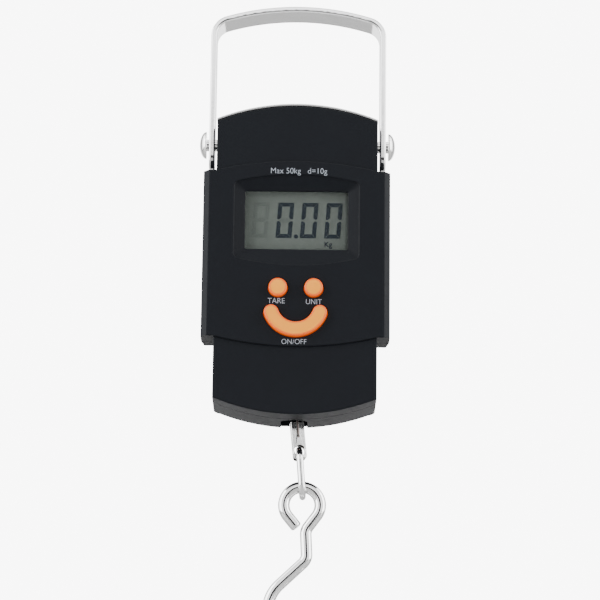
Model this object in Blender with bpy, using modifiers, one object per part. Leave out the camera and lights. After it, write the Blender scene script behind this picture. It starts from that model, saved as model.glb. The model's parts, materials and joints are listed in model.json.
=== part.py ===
"""Portable digital hanging scale: a plastic case on a chrome bail handle, with a steel hook below it.

Units are metres. +Z is up, the display faces -Y, and the origin is under the middle of the handle's grip,
where the hand carries it. Case parts hang from the empty "case_origin", which stands on the front face at the
lowest point of the case: x is sideways, y is depth from the front face, z is height.
"""

from math import acos, atan2, cos, degrees, pi, radians, sin, sqrt

import bmesh
import bpy
from mathutils import Matrix, Vector

# --- Driving dimensions -------------------------------------------------------------------------------------

CLEARANCE = 0.0003  # free gap between pieces that touch on the real object
FINE_GAP = 0.00015  # the same where the line shows

# Case: a column with a wider belt round its middle
CASE_WIDTH = 0.0559
CASE_HEIGHT = 0.1097
CASE_DEPTH = 0.0246
CASE_CROWN = 0.0056  # rise of the arcs at the top and the bottom
CASE_WALL = 0.0020
CASE_BACK_RADIUS = 0.0016
BELT_SHOULDER = 0.0044  # how far the belt stands out beyond each side of the column
BELT_WIDTH = CASE_WIDTH + 2 * BELT_SHOULDER
BELT_BOTTOM = 0.0268
BELT_TOP = 0.0860
BELT_CROWN = 0.0034
BELT_SHOULDER_FALL = 0.0003  # how much narrower the belt is at its outer ends
BELT_PROUD = 0.0008  # how far the belt stands out from the column's front face
BELT_DEPTH = 0.0149
BELT_CHAMFER = 0.0020
BELT_WALL = 0.0022
PARTING = 0.0086  # depth of the joint between the two halves of the case

# Handle and its pivot
PIVOT_BELOW_TOP = 0.0104
PIVOT_HEIGHT = CASE_HEIGHT - PIVOT_BELOW_TOP
PIVOT_DEPTH = 0.0140
GRIP_ABOVE_PIVOT = 0.0484
STRAP_THICKNESS = 0.0021
STRAP_WIDTH = 0.0115
STRAP_SIDE_GAP = 0.00095  # between each leg of the handle and the side of the case
STRAP_SPAN = CASE_WIDTH + 2 * (STRAP_SIDE_GAP + STRAP_THICKNESS)
STRAP_CORNER = 0.0075
STRAP_ARCH_RADIUS = 0.0870
STRAP_TAIL = 0.0095  # how far the strap runs past the pivot
STRAP_TAIL_RADIUS = 0.0042
RIVET_RADIUS = 0.00205
RIVET_HEAD_RADIUS = 0.0048
RIVET_HEAD_HEIGHT = 0.0024
RIVET_HEAD_STANDOFF = 0.0010
RIVET_SHANK_RADIUS = 0.0015

# Chrome yoke over the top of the case
YOKE_THICKNESS = 0.0010
YOKE_LEG_WIDTH = 0.0100
YOKE_LEG_LENGTH = 0.0110

# Display
WINDOW_WIDTH = 0.0356
WINDOW_HEIGHT = 0.0209
WINDOW_CENTRE = 0.06855
BEZEL_WIDTH = 0.0432
BEZEL_TOP = 0.0818
BEZEL_BOTTOM = 0.0548
BEZEL_CROWN = 0.0027
BEZEL_STEP = 0.0004
BEZEL_DEPTH = 0.0019
LENS_BORDER = 0.0018
LENS_THICKNESS = 0.0010
GLASS_THICKNESS = 0.0018

# Buttons
BUTTON_TRAVEL = 0.0010
BUTTON_PROUD = 0.0017
BUTTON_FLANGE = 0.0009
BUTTON_FLANGE_RIM = 0.0008
BUTTON_GAP = 0.00025
ROUND_BUTTON_RADIUS = 0.0032
ROUND_BUTTON_SPACING = 0.01226
ROUND_BUTTON_HEIGHT = 0.04395
CURVED_BUTTON_RADIUS = 0.0088
CURVED_BUTTON_WIDTH = 0.0051
CURVED_BUTTON_CENTRE = 0.03806
CURVED_BUTTON_SWEEP = 71  # degrees each side of straight down

# Electronics
BOARD_THICKNESS = 0.0012
BOARD_WIDTH = 0.0506
BOARD_BOTTOM = 0.0245
BOARD_TOP = 0.0845
BOARD_SCREW_RADIUS = 0.0010
BOARD_SCREW_INSET = 0.0023

# Load path
HANGER_THICKNESS = 0.0012
HANGER_WEB_WIDTH = 0.0130
CELL_WIDTH = 0.0120
CELL_DEPTH = 0.0064
CELL_BOTTOM = 0.0052
CELL_TOP = 0.0500
CELL_SLOT = 0.0012
CELL_SCREW_RADIUS = 0.0016
LOAD_PIN_HEIGHT = 0.0080
LOAD_PIN_RADIUS = 0.0013
SLOT_WIDTH = 0.0092

# Stem, clevis, link and hook
STEM_RADIUS = 0.00085
STEM_EYE_RADIUS = 0.0026
STEM_EYE_THICKNESS = 0.0024
STEM_HEAD_RADIUS = 0.0013
CLEVIS_WIDTH = 0.0045
CLEVIS_THICKNESS = 0.0008
CLEVIS_FACE = 0.0020  # from the swivel's axis to the outside of each cheek
CLEVIS_SLEEVE_RADIUS = 0.0021
CLEVIS_TOP = 0.0055  # these four are distances below the load pin
CLEVIS_SLEEVE_END = 0.0135
CLEVIS_HOLE_DROP = 0.0181
CLEVIS_END = 0.0212
LINK_WIRE_RADIUS = 0.00115
LINK_PLAY = 0.0008  # round the link's wire in the hole of the clevis
CLEVIS_HOLE_RADIUS = LINK_WIRE_RADIUS + LINK_PLAY
LINK_END_RADIUS = 0.00415
LINK_LENGTH = 0.0162  # between the centres of the wire at the two ends
HOOK_WIRE_RADIUS = 0.0020
HOOK_EYE_RADIUS = 0.0062
HOOK_BOWL_RADIUS = 0.0120
HOOK_BOWL_DROP = 0.0361  # from the eye's centre to the bowl's centre
HOOK_TIP_LENGTH = 0.0052
STEM_LEAN = radians(6.1)
LINK_LEAN = radians(4.6)
HOOK_LEAN = radians(1.3)
CLEVIS_TURN = radians(7)

# Batteries
BATTERY_RADIUS = 0.00525
BATTERY_LENGTH = 0.0445
BATTERY_GAP = 0.0002  # between the two batteries
BATTERY_PITCH = 2 * BATTERY_RADIUS + BATTERY_GAP
BATTERY_CENTRE = 0.0730
TRAY_LENGTH = 0.0488
TRAY_WALL = 0.0010
TRAY_PLAY = 0.00085  # from the batteries to the outside of the tray's floor
DOOR_THICKNESS = 0.0019
DOOR_PLAY = 0.00055  # from the batteries to the inside of the door
DOOR_MARGIN = 0.0008
BATTERY_DEPTH = CASE_DEPTH - DOOR_THICKNESS - DOOR_PLAY - BATTERY_RADIUS
TRAY_FLOOR = BATTERY_DEPTH - BATTERY_RADIUS - TRAY_PLAY

# Case screws
CASE_SCREW_RADIUS = 0.0013
CASE_SCREW_HEAD = 0.0024
BOSS_RADIUS = 0.0030

# Smoothness of round shapes
ARC_STEPS = 20
ROUND_STEPS = 24
SMALL_STEPS = 16

# --- Derived sizes ------------------------------------------------------------------------------------------

HALF_WIDTH = CASE_WIDTH / 2
HALF_BELT = BELT_WIDTH / 2
CASE_SIDE_TOP = CASE_HEIGHT - CASE_CROWN
INSIDE_HALF = HALF_WIDTH - CASE_WALL
INSIDE_FRONT = CASE_WALL - FINE_GAP
INSIDE_BACK = CASE_DEPTH - CASE_WALL
LENS_FRONT = CASE_WALL + FINE_GAP
GLASS_FRONT = LENS_FRONT + LENS_THICKNESS + FINE_GAP
GLASS_BACK = GLASS_FRONT + GLASS_THICKNESS
BOARD_FRONT = PARTING - BOARD_THICKNESS - FINE_GAP
BOARD_BACK = BOARD_FRONT + BOARD_THICKNESS
CELL_FRONT = PIVOT_DEPTH - CELL_DEPTH / 2
HANGER_FRONT = CELL_FRONT - CLEARANCE - HANGER_THICKNESS
TRAY_HALF_HEIGHT = BATTERY_PITCH / 2 + BATTERY_RADIUS + CLEARANCE
TRAY_BOTTOM = BATTERY_CENTRE - TRAY_HALF_HEIGHT
TRAY_TOP = BATTERY_CENTRE + TRAY_HALF_HEIGHT
CASE_SCREWS = [(side * 0.0205, height) for height in (0.0130, 0.0905) for side in (-1, 1)]
BOARD_SCREWS = [
    (side * (BOARD_WIDTH / 2 - BOARD_SCREW_INSET), height)
    for height in (BOARD_BOTTOM + BOARD_SCREW_INSET, BOARD_TOP - BOARD_SCREW_INSET)
    for side in (-1, 1)
]

# --- Scene and helpers --------------------------------------------------------------------------------------

for old in list(bpy.data.objects):
    bpy.data.objects.remove(old, do_unlink=True)

parts = bpy.data.collections.new("digital_fish_scale")
cutters = bpy.data.collections.new("cutters")
cutters.hide_render = True
bpy.context.scene.collection.children.link(parts)
bpy.context.scene.collection.children.link(cutters)


def empty(name, location, parent=None, rotation=(0, 0, 0)):
    holder = bpy.data.objects.new(name, None)
    holder.empty_display_size = 0.005
    holder.location = location
    holder.rotation_euler = rotation
    holder.parent = parent
    parts.objects.link(holder)
    return holder


case_origin = empty("case_origin", (0, -PIVOT_DEPTH, -GRIP_ABOVE_PIVOT - PIVOT_HEIGHT))
handle_origin = empty("handle_origin", (0, 0, -GRIP_ABOVE_PIVOT))


def material(name, colour, roughness, metallic=0.0, alpha=1.0):
    made = bpy.data.materials.new(name)
    made.use_nodes = True
    shader = made.node_tree.nodes["Principled BSDF"]
    shader.inputs["Base Color"].default_value = (*colour, 1)
    shader.inputs["Roughness"].default_value = roughness
    shader.inputs["Metallic"].default_value = metallic
    shader.inputs["Alpha"].default_value = alpha
    return made


CHROME = material("chrome plate", (0.75, 0.75, 0.74), 0.12, 1.0)
STEEL = material("bare steel", (0.50, 0.50, 0.50), 0.35, 1.0)
ALUMINIUM = material("aluminium", (0.70, 0.71, 0.72), 0.40, 1.0)
BLACK_ABS = material("black plastic", (0.016, 0.018, 0.022), 0.55)
ORANGE = material("orange plastic", (1.0, 0.36, 0.07), 0.45)
CLEAR = material("clear window", (0.80, 0.84, 0.82), 0.08, 0.0, 0.25)
LCD_GREY = material("display glass", (0.13, 0.15, 0.14), 0.25)
WHITE_ABS = material("white plastic", (0.75, 0.75, 0.72), 0.5)
RUBBER = material("silicone rubber", (0.20, 0.21, 0.22), 0.7)
BOARD_GREEN = material("circuit board", (0.02, 0.16, 0.06), 0.4)
EPOXY = material("black epoxy", (0.01, 0.01, 0.01), 0.3)
GAUGE_FOIL = material("gauge foil", (0.55, 0.32, 0.10), 0.4)
BATTERY_SKIN = material("battery skin", (0.05, 0.12, 0.30), 0.35)
WIRE_RED = material("red insulation", (0.55, 0.02, 0.02), 0.5)


def add(name, data, look, parent, location=(0, 0, 0), rotation=(0, 0, 0)):
    """A part, or a cutter when it has no look."""
    made = bpy.data.objects.new(name, data)
    made.location = location
    made.rotation_euler = rotation
    made.parent = parent
    if look is None:
        made.hide_render = True
        made.display_type = "WIRE"
        cutters.objects.link(made)
    else:
        data.materials.clear()
        data.materials.append(look)
        parts.objects.link(made)
    return made


def welded_mesh(curve_object):
    """The closed mesh of a curve, with its loose caps joined on."""
    bpy.context.view_layer.update()
    graph = bpy.context.evaluated_depsgraph_get()
    mesh = bpy.data.meshes.new_from_object(curve_object.evaluated_get(graph))
    bpy.data.objects.remove(curve_object, do_unlink=True)
    work = bmesh.new()
    work.from_mesh(mesh)
    bmesh.ops.remove_doubles(work, verts=work.verts, dist=1e-6)
    bmesh.ops.recalc_face_normals(work, faces=work.faces)
    work.to_mesh(mesh)
    work.free()
    return mesh


def prism_mesh(name, outlines, thickness):
    """A flat outline, with any holes, as a plate about its own middle plane."""
    curve = bpy.data.curves.new(name, "CURVE")
    curve.dimensions = "2D"
    curve.fill_mode = "BOTH"
    curve.extrude = thickness / 2
    for outline in outlines:
        spline = curve.splines.new("POLY")
        spline.points.add(len(outline) - 1)
        for point, place in zip(spline.points, outline):
            point.co = (place[0], place[1], 0, 1)
        spline.use_cyclic_u = True
    holder = bpy.data.objects.new(name, curve)
    cutters.objects.link(holder)
    return welded_mesh(holder)


def front_prism(name, outlines, front, back, look=None, parent=case_origin):
    """Outlines drawn as seen from the front (x, z), reaching from one depth to another."""
    mesh = prism_mesh(name, outlines, back - front)
    return add(name, mesh, look, parent, (0, (front + back) / 2, 0), (pi / 2, 0, 0))


def plan_prism(name, outlines, bottom, top, look=None, parent=case_origin):
    """Outlines drawn as seen from above (x, y), reaching from one height to another."""
    mesh = prism_mesh(name, outlines, top - bottom)
    return add(name, mesh, look, parent, (0, 0, (bottom + top) / 2))


def side_prism(name, outlines, left, right, look=None, parent=case_origin):
    """Outlines drawn as seen from the right (y, z), reaching from one x to another."""
    mesh = prism_mesh(name, outlines, right - left)
    return add(name, mesh, look, parent, ((left + right) / 2, 0, 0), (pi / 2, 0, pi / 2))


def box_mesh(name, boxes):
    work = bmesh.new()
    for low, high in boxes:
        size = [b - a for a, b in zip(low, high)]
        middle = Vector([(a + b) / 2 for a, b in zip(low, high)])
        scale = Matrix.Diagonal((*size, 1))
        bmesh.ops.create_cube(work, size=1, matrix=Matrix.Translation(middle) @ scale)
    mesh = bpy.data.meshes.new(name)
    work.to_mesh(mesh)
    work.free()
    return mesh


def boxes(name, extents, look=None, parent=case_origin):
    return add(name, box_mesh(name, extents), look, parent)


TURN_TO = {
    "X": Matrix.Rotation(pi / 2, 4, "Y"),
    "Y": Matrix.Rotation(pi / 2, 4, "X"),
    "Z": Matrix.Identity(4),
}


def rods(name, places, radius, low, high, along, look=None, parent=case_origin, steps=SMALL_STEPS):
    """Cylinders between two levels along an axis, at places given in the other two coordinates."""
    work = bmesh.new()
    for u, v in places:
        middle = (low + high) / 2
        centre = {"X": (middle, u, v), "Y": (u, middle, v), "Z": (u, v, middle)}[along]
        place = Matrix.Translation(Vector(centre)) @ TURN_TO[along]
        bmesh.ops.create_cone(
            work, cap_ends=True, segments=steps, radius1=radius, radius2=radius, depth=high - low, matrix=place
        )
    mesh = bpy.data.meshes.new(name)
    work.to_mesh(mesh)
    work.free()
    made = add(name, mesh, look, parent)
    smooth(made)
    return made


def smooth(made, angle=40):
    made.data.shade_smooth()
    made.data.set_sharp_from_angle(angle=radians(angle))


def boolean(target, operation, other):
    cut = target.modifiers.new(f"{operation.lower()} {other.name}", "BOOLEAN")
    cut.operation = operation
    cut.solver = "EXACT"
    cut.object = other


def turned(name, profile, look, parent, location=(0, 0, 0), rotation=(0, 0, 0), steps=ROUND_STEPS):
    """A body of revolution about its own Z from (radius, height) pairs running from top to bottom."""
    work = bmesh.new()
    verts = [work.verts.new((radius, 0, height)) for radius, height in profile]
    for first, second in zip(verts, verts[1:]):
        work.edges.new((first, second))
    mesh = bpy.data.meshes.new(name)
    work.to_mesh(mesh)
    work.free()
    made = add(name, mesh, look, parent, location, rotation)
    screw = made.modifiers.new("turn", "SCREW")
    screw.steps = steps
    screw.render_steps = steps
    screw.use_merge_vertices = True
    screw.merge_threshold = 0.00001
    screw.use_smooth_shade = True
    return made


def wire(name, points, radius, look, parent, location=(0, 0, 0), closed=False, sides=2, rotation=(0, 0, 0)):
    """A round wire along points, as a curve with filled ends."""
    curve = bpy.data.curves.new(name, "CURVE")
    curve.dimensions = "3D"
    curve.bevel_depth = radius
    curve.bevel_resolution = sides
    curve.use_fill_caps = not closed
    spline = curve.splines.new("POLY")
    spline.points.add(len(points) - 1)
    for point, place in zip(spline.points, points):
        point.co = (*place, 1)
    spline.use_cyclic_u = closed
    return add(name, curve, look, parent, location, rotation)


def arc(centre, radius, start, end, steps):
    """Points on a circle from one angle to another, in degrees."""
    turns = [radians(start + (end - start) * i / steps) for i in range(steps + 1)]
    return [(centre[0] + radius * cos(t), centre[1] + radius * sin(t)) for t in turns]


def crowned(half_width, ends, middle, steps=ARC_STEPS):
    """Points of a shallow arc from +x to -x, by the heights of its ends and its middle."""
    rise = middle - ends
    radius = (half_width**2 + rise**2) / (2 * abs(rise))
    sign = 1 if rise > 0 else -1
    points = []
    for i in range(steps + 1):
        x = half_width * (1 - 2 * i / steps)
        points.append((x, middle - sign * (radius - sqrt(radius**2 - x**2))))
    return points


def rectangle(left, bottom, right, top):
    return [(left, bottom), (right, bottom), (right, top), (left, top)]


def rounded_rectangle(left, bottom, right, top, radius, steps=5):
    corners = [
        ((right - radius, top - radius), 0),
        ((left + radius, top - radius), 90),
        ((left + radius, bottom + radius), 180),
        ((right - radius, bottom + radius), 270),
    ]
    return [point for centre, start in corners for point in arc(centre, radius, start, start + 90, steps)]


def reversed_x(points):
    return [(-x, z) for x, z in points]


# --- Case ---------------------------------------------------------------------------------------------------


BEYOND = 0.002  # how far a cutter runs past what it cuts


def column_outline():
    """The column seen from the front. It runs past the sides, which the section cuts."""
    top = crowned(HALF_WIDTH, CASE_SIDE_TOP, CASE_HEIGHT)
    bottom = crowned(HALF_WIDTH, CASE_CROWN, 0)
    side = HALF_WIDTH + BEYOND
    left = [(-side, CASE_SIDE_TOP), (-side, CASE_CROWN)]
    return top + left + bottom[::-1] + reversed_x(left)[::-1]


def cavity_outline():
    top = crowned(INSIDE_HALF, CASE_SIDE_TOP - CASE_WALL, CASE_HEIGHT - CASE_WALL)
    bottom = crowned(INSIDE_HALF, CASE_CROWN + CASE_WALL, CASE_WALL)
    return top + bottom[::-1]


def belt_outline():
    """The belt seen from the front, crowned where it crosses the column. It too runs past the sides."""
    top = crowned(HALF_WIDTH, BELT_TOP, BELT_TOP + BELT_CROWN)
    bottom = crowned(HALF_WIDTH, BELT_BOTTOM, BELT_BOTTOM - BELT_CROWN)
    side = HALF_BELT + BEYOND
    left = [(-side, BELT_TOP - BELT_SHOULDER_FALL), (-side, BELT_BOTTOM + BELT_SHOULDER_FALL)]
    return top + left + bottom[::-1] + reversed_x(left)[::-1]


COLUMN_EDGE = 0.0005
COLUMN_SECTION = (
    [(-HALF_WIDTH + COLUMN_EDGE, 0), (HALF_WIDTH - COLUMN_EDGE, 0), (HALF_WIDTH, COLUMN_EDGE)]
    + arc((HALF_WIDTH - CASE_BACK_RADIUS, CASE_DEPTH - CASE_BACK_RADIUS), CASE_BACK_RADIUS, 0, 90, 6)
    + arc((-HALF_WIDTH + CASE_BACK_RADIUS, CASE_DEPTH - CASE_BACK_RADIUS), CASE_BACK_RADIUS, 90, 180, 6)
    + [(-HALF_WIDTH, COLUMN_EDGE)]
)
BELT_BACK_TAPER = 0.0009
BELT_SECTION = [
    (-HALF_BELT + BELT_CHAMFER, -BELT_PROUD),
    (HALF_BELT - BELT_CHAMFER, -BELT_PROUD),
    (HALF_BELT, BELT_CHAMFER - BELT_PROUD),
    (HALF_BELT, PARTING),
    (HALF_BELT - BELT_BACK_TAPER, BELT_DEPTH),
    (-HALF_BELT + BELT_BACK_TAPER, BELT_DEPTH),
    (-HALF_BELT, PARTING),
    (-HALF_BELT, BELT_CHAMFER - BELT_PROUD),
]

column_section = plan_prism("column_section", [COLUMN_SECTION], -BEYOND, CASE_HEIGHT + BEYOND)
belt_section = plan_prism("belt_section", [BELT_SECTION], BELT_BOTTOM - 0.006, BELT_TOP + 0.006)
column_cavity = front_prism("column_cavity", [cavity_outline()], INSIDE_FRONT, INSIDE_BACK)
belt_cavity = boxes(
    "belt_cavity",
    [
        (
            (-HALF_BELT + BELT_WALL, INSIDE_FRONT + CLEARANCE, BELT_BOTTOM + BELT_WALL),
            (HALF_BELT - BELT_WALL, BELT_DEPTH - BELT_WALL, BELT_TOP - BELT_WALL),
        )
    ],
)


def case_half(name, front, back):
    """One half of the case, between two depths: column and belt joined, then hollowed."""
    ahead, behind = -BELT_PROUD - BEYOND, CASE_DEPTH + BEYOND
    half = front_prism(name, [column_outline()], ahead, behind, BLACK_ABS)
    belt = front_prism(f"{name}_belt", [belt_outline()], ahead, behind)
    side = HALF_BELT + BEYOND
    depths = boxes(f"{name}_depths", [((-side, front, -BEYOND), (side, back, CASE_HEIGHT + BEYOND))])
    boolean(half, "INTERSECT", column_section)
    boolean(belt, "INTERSECT", belt_section)
    boolean(half, "UNION", belt)
    boolean(half, "DIFFERENCE", column_cavity)
    boolean(half, "DIFFERENCE", belt_cavity)
    boolean(half, "INTERSECT", depths)
    return half


def bezel_rim(grow):
    """The dished surround of the display at its outer edge, as points that pair with window_rim."""
    half = BEZEL_WIDTH / 2 + grow
    top = crowned(half, BEZEL_TOP + grow, BEZEL_TOP + BEZEL_CROWN + grow, 12)
    bottom = crowned(half, BEZEL_BOTTOM - grow, BEZEL_BOTTOM - BEZEL_CROWN - grow, 12)
    return top + bottom[::-1]


def window_rim():
    half = WINDOW_WIDTH / 2
    top = WINDOW_CENTRE + WINDOW_HEIGHT / 2
    bottom = WINDOW_CENTRE - WINDOW_HEIGHT / 2
    steps = [half * (1 - 2 * i / 12) for i in range(13)]
    return [(x, top) for x in steps] + [(x, bottom) for x in reversed(steps)]


def lofted(name, rings):
    """A closed body through rings of points that match one to one, each at its own depth."""
    work = bmesh.new()
    loops = [[work.verts.new((x, depth, z)) for x, z in ring] for ring, depth in rings]
    count = len(loops[0])
    for near, far in zip(loops, loops[1:]):
        for i in range(count):
            j = (i + 1) % count
            work.faces.new((near[i], near[j], far[j], far[i]))
    work.faces.new(loops[0][::-1])
    work.faces.new(loops[-1])
    bmesh.ops.recalc_face_normals(work, faces=work.faces)
    mesh = bpy.data.meshes.new(name)
    work.to_mesh(mesh)
    work.free()
    return add(name, mesh, None, case_origin)


def curved_button_outline(grow=0.0):
    """The lower button seen from the front: a curved band with round ends."""
    centre = (0, CURVED_BUTTON_CENTRE)
    half = CURVED_BUTTON_WIDTH / 2 + grow
    start, end = 270 - CURVED_BUTTON_SWEEP, 270 + CURVED_BUTTON_SWEEP
    left = arc(centre, CURVED_BUTTON_RADIUS, start, start, 1)[0]
    right = arc(centre, CURVED_BUTTON_RADIUS, end, end, 1)[0]
    outer = arc(centre, CURVED_BUTTON_RADIUS + half, start, end, 14)
    inner = arc(centre, CURVED_BUTTON_RADIUS - half, end, start, 14)
    right_end = arc(right, half, end, end + 180, 6)[1:-1]
    left_end = arc(left, half, start + 180, start + 360, 6)[1:-1]
    return outer + right_end + inner + left_end


front_cover = case_half("front_cover", -BELT_PROUD - BEYOND, PARTING - FINE_GAP)
front_bosses = rods("front_bosses", CASE_SCREWS, BOSS_RADIUS, CASE_WALL / 2, PARTING - FINE_GAP, "Y")
board_bosses = rods("board_bosses", BOARD_SCREWS, 0.0019, CASE_WALL / 2, BOARD_FRONT - FINE_GAP, "Y")
bezel_pocket = lofted(
    "bezel_pocket",
    [
        (bezel_rim(0), -BELT_PROUD - BEYOND),
        (bezel_rim(0), -BELT_PROUD + BEZEL_STEP),
        (window_rim(), -BELT_PROUD + BEZEL_DEPTH),
        (window_rim(), CASE_WALL + BEYOND),
    ],
)
ROUND_BUTTONS = [(-ROUND_BUTTON_SPACING / 2, ROUND_BUTTON_HEIGHT), (ROUND_BUTTON_SPACING / 2, ROUND_BUTTON_HEIGHT)]
round_button_holes = rods(
    "round_button_holes",
    ROUND_BUTTONS,
    ROUND_BUTTON_RADIUS + BUTTON_GAP,
    -BELT_PROUD - BEYOND,
    CASE_WALL + BEYOND,
    "Y",
    steps=ROUND_STEPS,
)
curved_button_hole = front_prism(
    "curved_button_hole", [curved_button_outline(BUTTON_GAP)], -BELT_PROUD - BEYOND, CASE_WALL + BEYOND
)
front_screw_holes = rods(
    "front_screw_holes", CASE_SCREWS, CASE_SCREW_RADIUS + FINE_GAP, PARTING - 0.0048, PARTING + BEYOND, "Y"
)
board_screw_holes = rods(
    "board_screw_holes", BOARD_SCREWS, BOARD_SCREW_RADIUS + FINE_GAP, BOARD_FRONT - 0.0036, PARTING + BEYOND, "Y"
)
boolean(front_cover, "UNION", front_bosses)
boolean(front_cover, "UNION", board_bosses)
for cutter in (bezel_pocket, round_button_holes, curved_button_hole, front_screw_holes, board_screw_holes):
    boolean(front_cover, "DIFFERENCE", cutter)

rear_cover = case_half("rear_cover", PARTING + FINE_GAP, CASE_DEPTH + BEYOND)
rear_bosses = rods(
    "rear_bosses", CASE_SCREWS, BOSS_RADIUS, PARTING + FINE_GAP, CASE_DEPTH - CASE_WALL / 2, "Y"
)
tray_half = TRAY_LENGTH / 2
DOOR_SPAN = tray_half + DOOR_MARGIN
battery_tray = boxes(
    "battery_tray",
    [
        (
            (-INSIDE_HALF - CASE_WALL / 2, TRAY_FLOOR, TRAY_BOTTOM - TRAY_WALL),
            (INSIDE_HALF + CASE_WALL / 2, CASE_DEPTH - CASE_WALL / 2, TRAY_TOP + TRAY_WALL),
        )
    ],
)
tray_hollow = boxes(
    "tray_hollow",
    [((-tray_half, TRAY_FLOOR + 0.0006, TRAY_BOTTOM), (tray_half, CASE_DEPTH + BEYOND, TRAY_TOP))],
)
door_seat = boxes(
    "door_seat",
    [
        (
            (-DOOR_SPAN - CLEARANCE, CASE_DEPTH - DOOR_THICKNESS - FINE_GAP, TRAY_BOTTOM - CLEARANCE),
            (DOOR_SPAN + CLEARANCE, CASE_DEPTH + BEYOND, TRAY_TOP + CLEARANCE),
        )
    ],
)
SLOT_CENTRE = PIVOT_DEPTH + 0.0008
slot_outline = arc((0, SLOT_CENTRE), SLOT_WIDTH / 2, 180, 360, 13) + [
    (SLOT_WIDTH / 2, INSIDE_BACK + CLEARANCE),
    (-SLOT_WIDTH / 2, INSIDE_BACK + CLEARANCE),
]
hook_slot = plan_prism("hook_slot", [slot_outline], -BEYOND, CASE_WALL * 1.5)
SLOT_NOTCH = 0.0008
hook_slot_notch = boxes(
    "hook_slot_notch",
    [((-SLOT_WIDTH / 2, INSIDE_BACK - BEYOND, -BEYOND), (SLOT_WIDTH / 2, CASE_DEPTH + BEYOND, SLOT_NOTCH))],
)
YOKE_LEG_FRONT = PIVOT_DEPTH - YOKE_LEG_WIDTH / 2
YOKE_LEG_BACK = PIVOT_DEPTH + YOKE_LEG_WIDTH / 2
YOKE_LEG_END = CASE_SIDE_TOP - YOKE_LEG_LENGTH
YOKE_INSIDE = HALF_WIDTH - YOKE_THICKNESS
yoke_recess = boxes(
    "yoke_recess",
    [
        (
            (side * (HALF_WIDTH + side * edge_low), YOKE_LEG_FRONT - FINE_GAP, YOKE_LEG_END - FINE_GAP),
            (side * (HALF_WIDTH + side * edge_high), YOKE_LEG_BACK + FINE_GAP, CASE_HEIGHT + BEYOND),
        )
        for side, edge_low, edge_high in (
            (1, -YOKE_THICKNESS - FINE_GAP, BEYOND),
            (-1, -BEYOND, YOKE_THICKNESS + FINE_GAP),
        )
    ],
)
PIVOT = [(PIVOT_DEPTH, PIVOT_HEIGHT)]
pivot_holes = rods(
    "pivot_holes", PIVOT, RIVET_SHANK_RADIUS + FINE_GAP, -HALF_WIDTH - BEYOND, HALF_WIDTH + BEYOND, "X"
)
rear_screw_holes = rods(
    "rear_screw_holes", CASE_SCREWS, CASE_SCREW_RADIUS + FINE_GAP, PARTING - BEYOND, CASE_DEPTH + BEYOND, "Y"
)
SCREW_SEAT = CASE_DEPTH - 0.0046
screw_head_recesses = rods(
    "screw_head_recesses", CASE_SCREWS, CASE_SCREW_HEAD + FINE_GAP, SCREW_SEAT, CASE_DEPTH + BEYOND, "Y"
)
boolean(rear_cover, "UNION", rear_bosses)
boolean(rear_cover, "UNION", battery_tray)
for cutter in (tray_hollow, door_seat, hook_slot, hook_slot_notch, yoke_recess):
    boolean(rear_cover, "DIFFERENCE", cutter)
for cutter in (pivot_holes, rear_screw_holes, screw_head_recesses):
    boolean(rear_cover, "DIFFERENCE", cutter)

battery_door = boxes(
    "battery_door",
    [
        (
            (-DOOR_SPAN, CASE_DEPTH - DOOR_THICKNESS, TRAY_BOTTOM),
            (DOOR_SPAN, CASE_DEPTH, TRAY_TOP),
        )
    ],
    BLACK_ABS,
)

GRIP_GROOVES = 4
door_grooves = boxes(
    "door_grooves",
    [
        (
            (-0.0080, CASE_DEPTH - 0.0005, TRAY_BOTTOM + 0.0020 + 0.0018 * i),
            (0.0080, CASE_DEPTH + BEYOND, TRAY_BOTTOM + 0.0029 + 0.0018 * i),
        )
        for i in range(GRIP_GROOVES)
    ],
)
boolean(battery_door, "DIFFERENCE", door_grooves)

# --- Screws that close the case -----------------------------------------------------------------------------


def screw(name, place, seat, shank_radius, head_radius, head_height, length, backward, look=STEEL):
    """A pan-head screw driven along the depth: its head sits at the seat, on the side the driver comes from."""
    profile = [
        (0, head_height),
        (head_radius * 0.7, head_height),
        (head_radius, head_height * 0.55),
        (head_radius, 0),
        (shank_radius, 0),
        (shank_radius, -length + shank_radius),
        (0, -length),
    ]
    turn = -pi / 2 if backward else pi / 2
    return turned(name, profile, look, case_origin, (place[0], seat, place[1]), (turn, 0, 0), SMALL_STEPS)


CASE_SCREW_NAMES = ("lower_left", "lower_right", "upper_left", "upper_right")
for label, place in zip(CASE_SCREW_NAMES, CASE_SCREWS):
    length = SCREW_SEAT - PARTING + 0.0040
    screw(f"case_screw_{label}", place, SCREW_SEAT + FINE_GAP, CASE_SCREW_RADIUS, CASE_SCREW_HEAD, 0.0018, length, True)

# --- Display and electronics --------------------------------------------------------------------------------

LENS_HALF_WIDTH = WINDOW_WIDTH / 2 + LENS_BORDER
LENS_HALF_HEIGHT = WINDOW_HEIGHT / 2 + LENS_BORDER
window_edges = (
    -LENS_HALF_WIDTH,
    WINDOW_CENTRE - LENS_HALF_HEIGHT,
    LENS_HALF_WIDTH,
    WINDOW_CENTRE + LENS_HALF_HEIGHT,
)
front_prism(
    "display_window",
    [rounded_rectangle(*window_edges, 0.001, 3)],
    LENS_FRONT,
    LENS_FRONT + LENS_THICKNESS,
    CLEAR,
)
front_prism("display_glass", [rectangle(*window_edges)], GLASS_FRONT, GLASS_BACK, LCD_GREY)
FRAME_WALL = 0.0009
frame_low = [edge - CLEARANCE for edge in window_edges[:2]]
frame_high = [edge + CLEARANCE for edge in window_edges[2:]]
front_prism(
    "display_frame",
    [
        rectangle(
            frame_low[0] - FRAME_WALL,
            frame_low[1] - FRAME_WALL,
            frame_high[0] + FRAME_WALL,
            frame_high[1] + FRAME_WALL,
        ),
        rectangle(*frame_low, *frame_high),
    ],
    GLASS_FRONT,
    BOARD_FRONT - FINE_GAP,
    WHITE_ABS,
)
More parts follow.
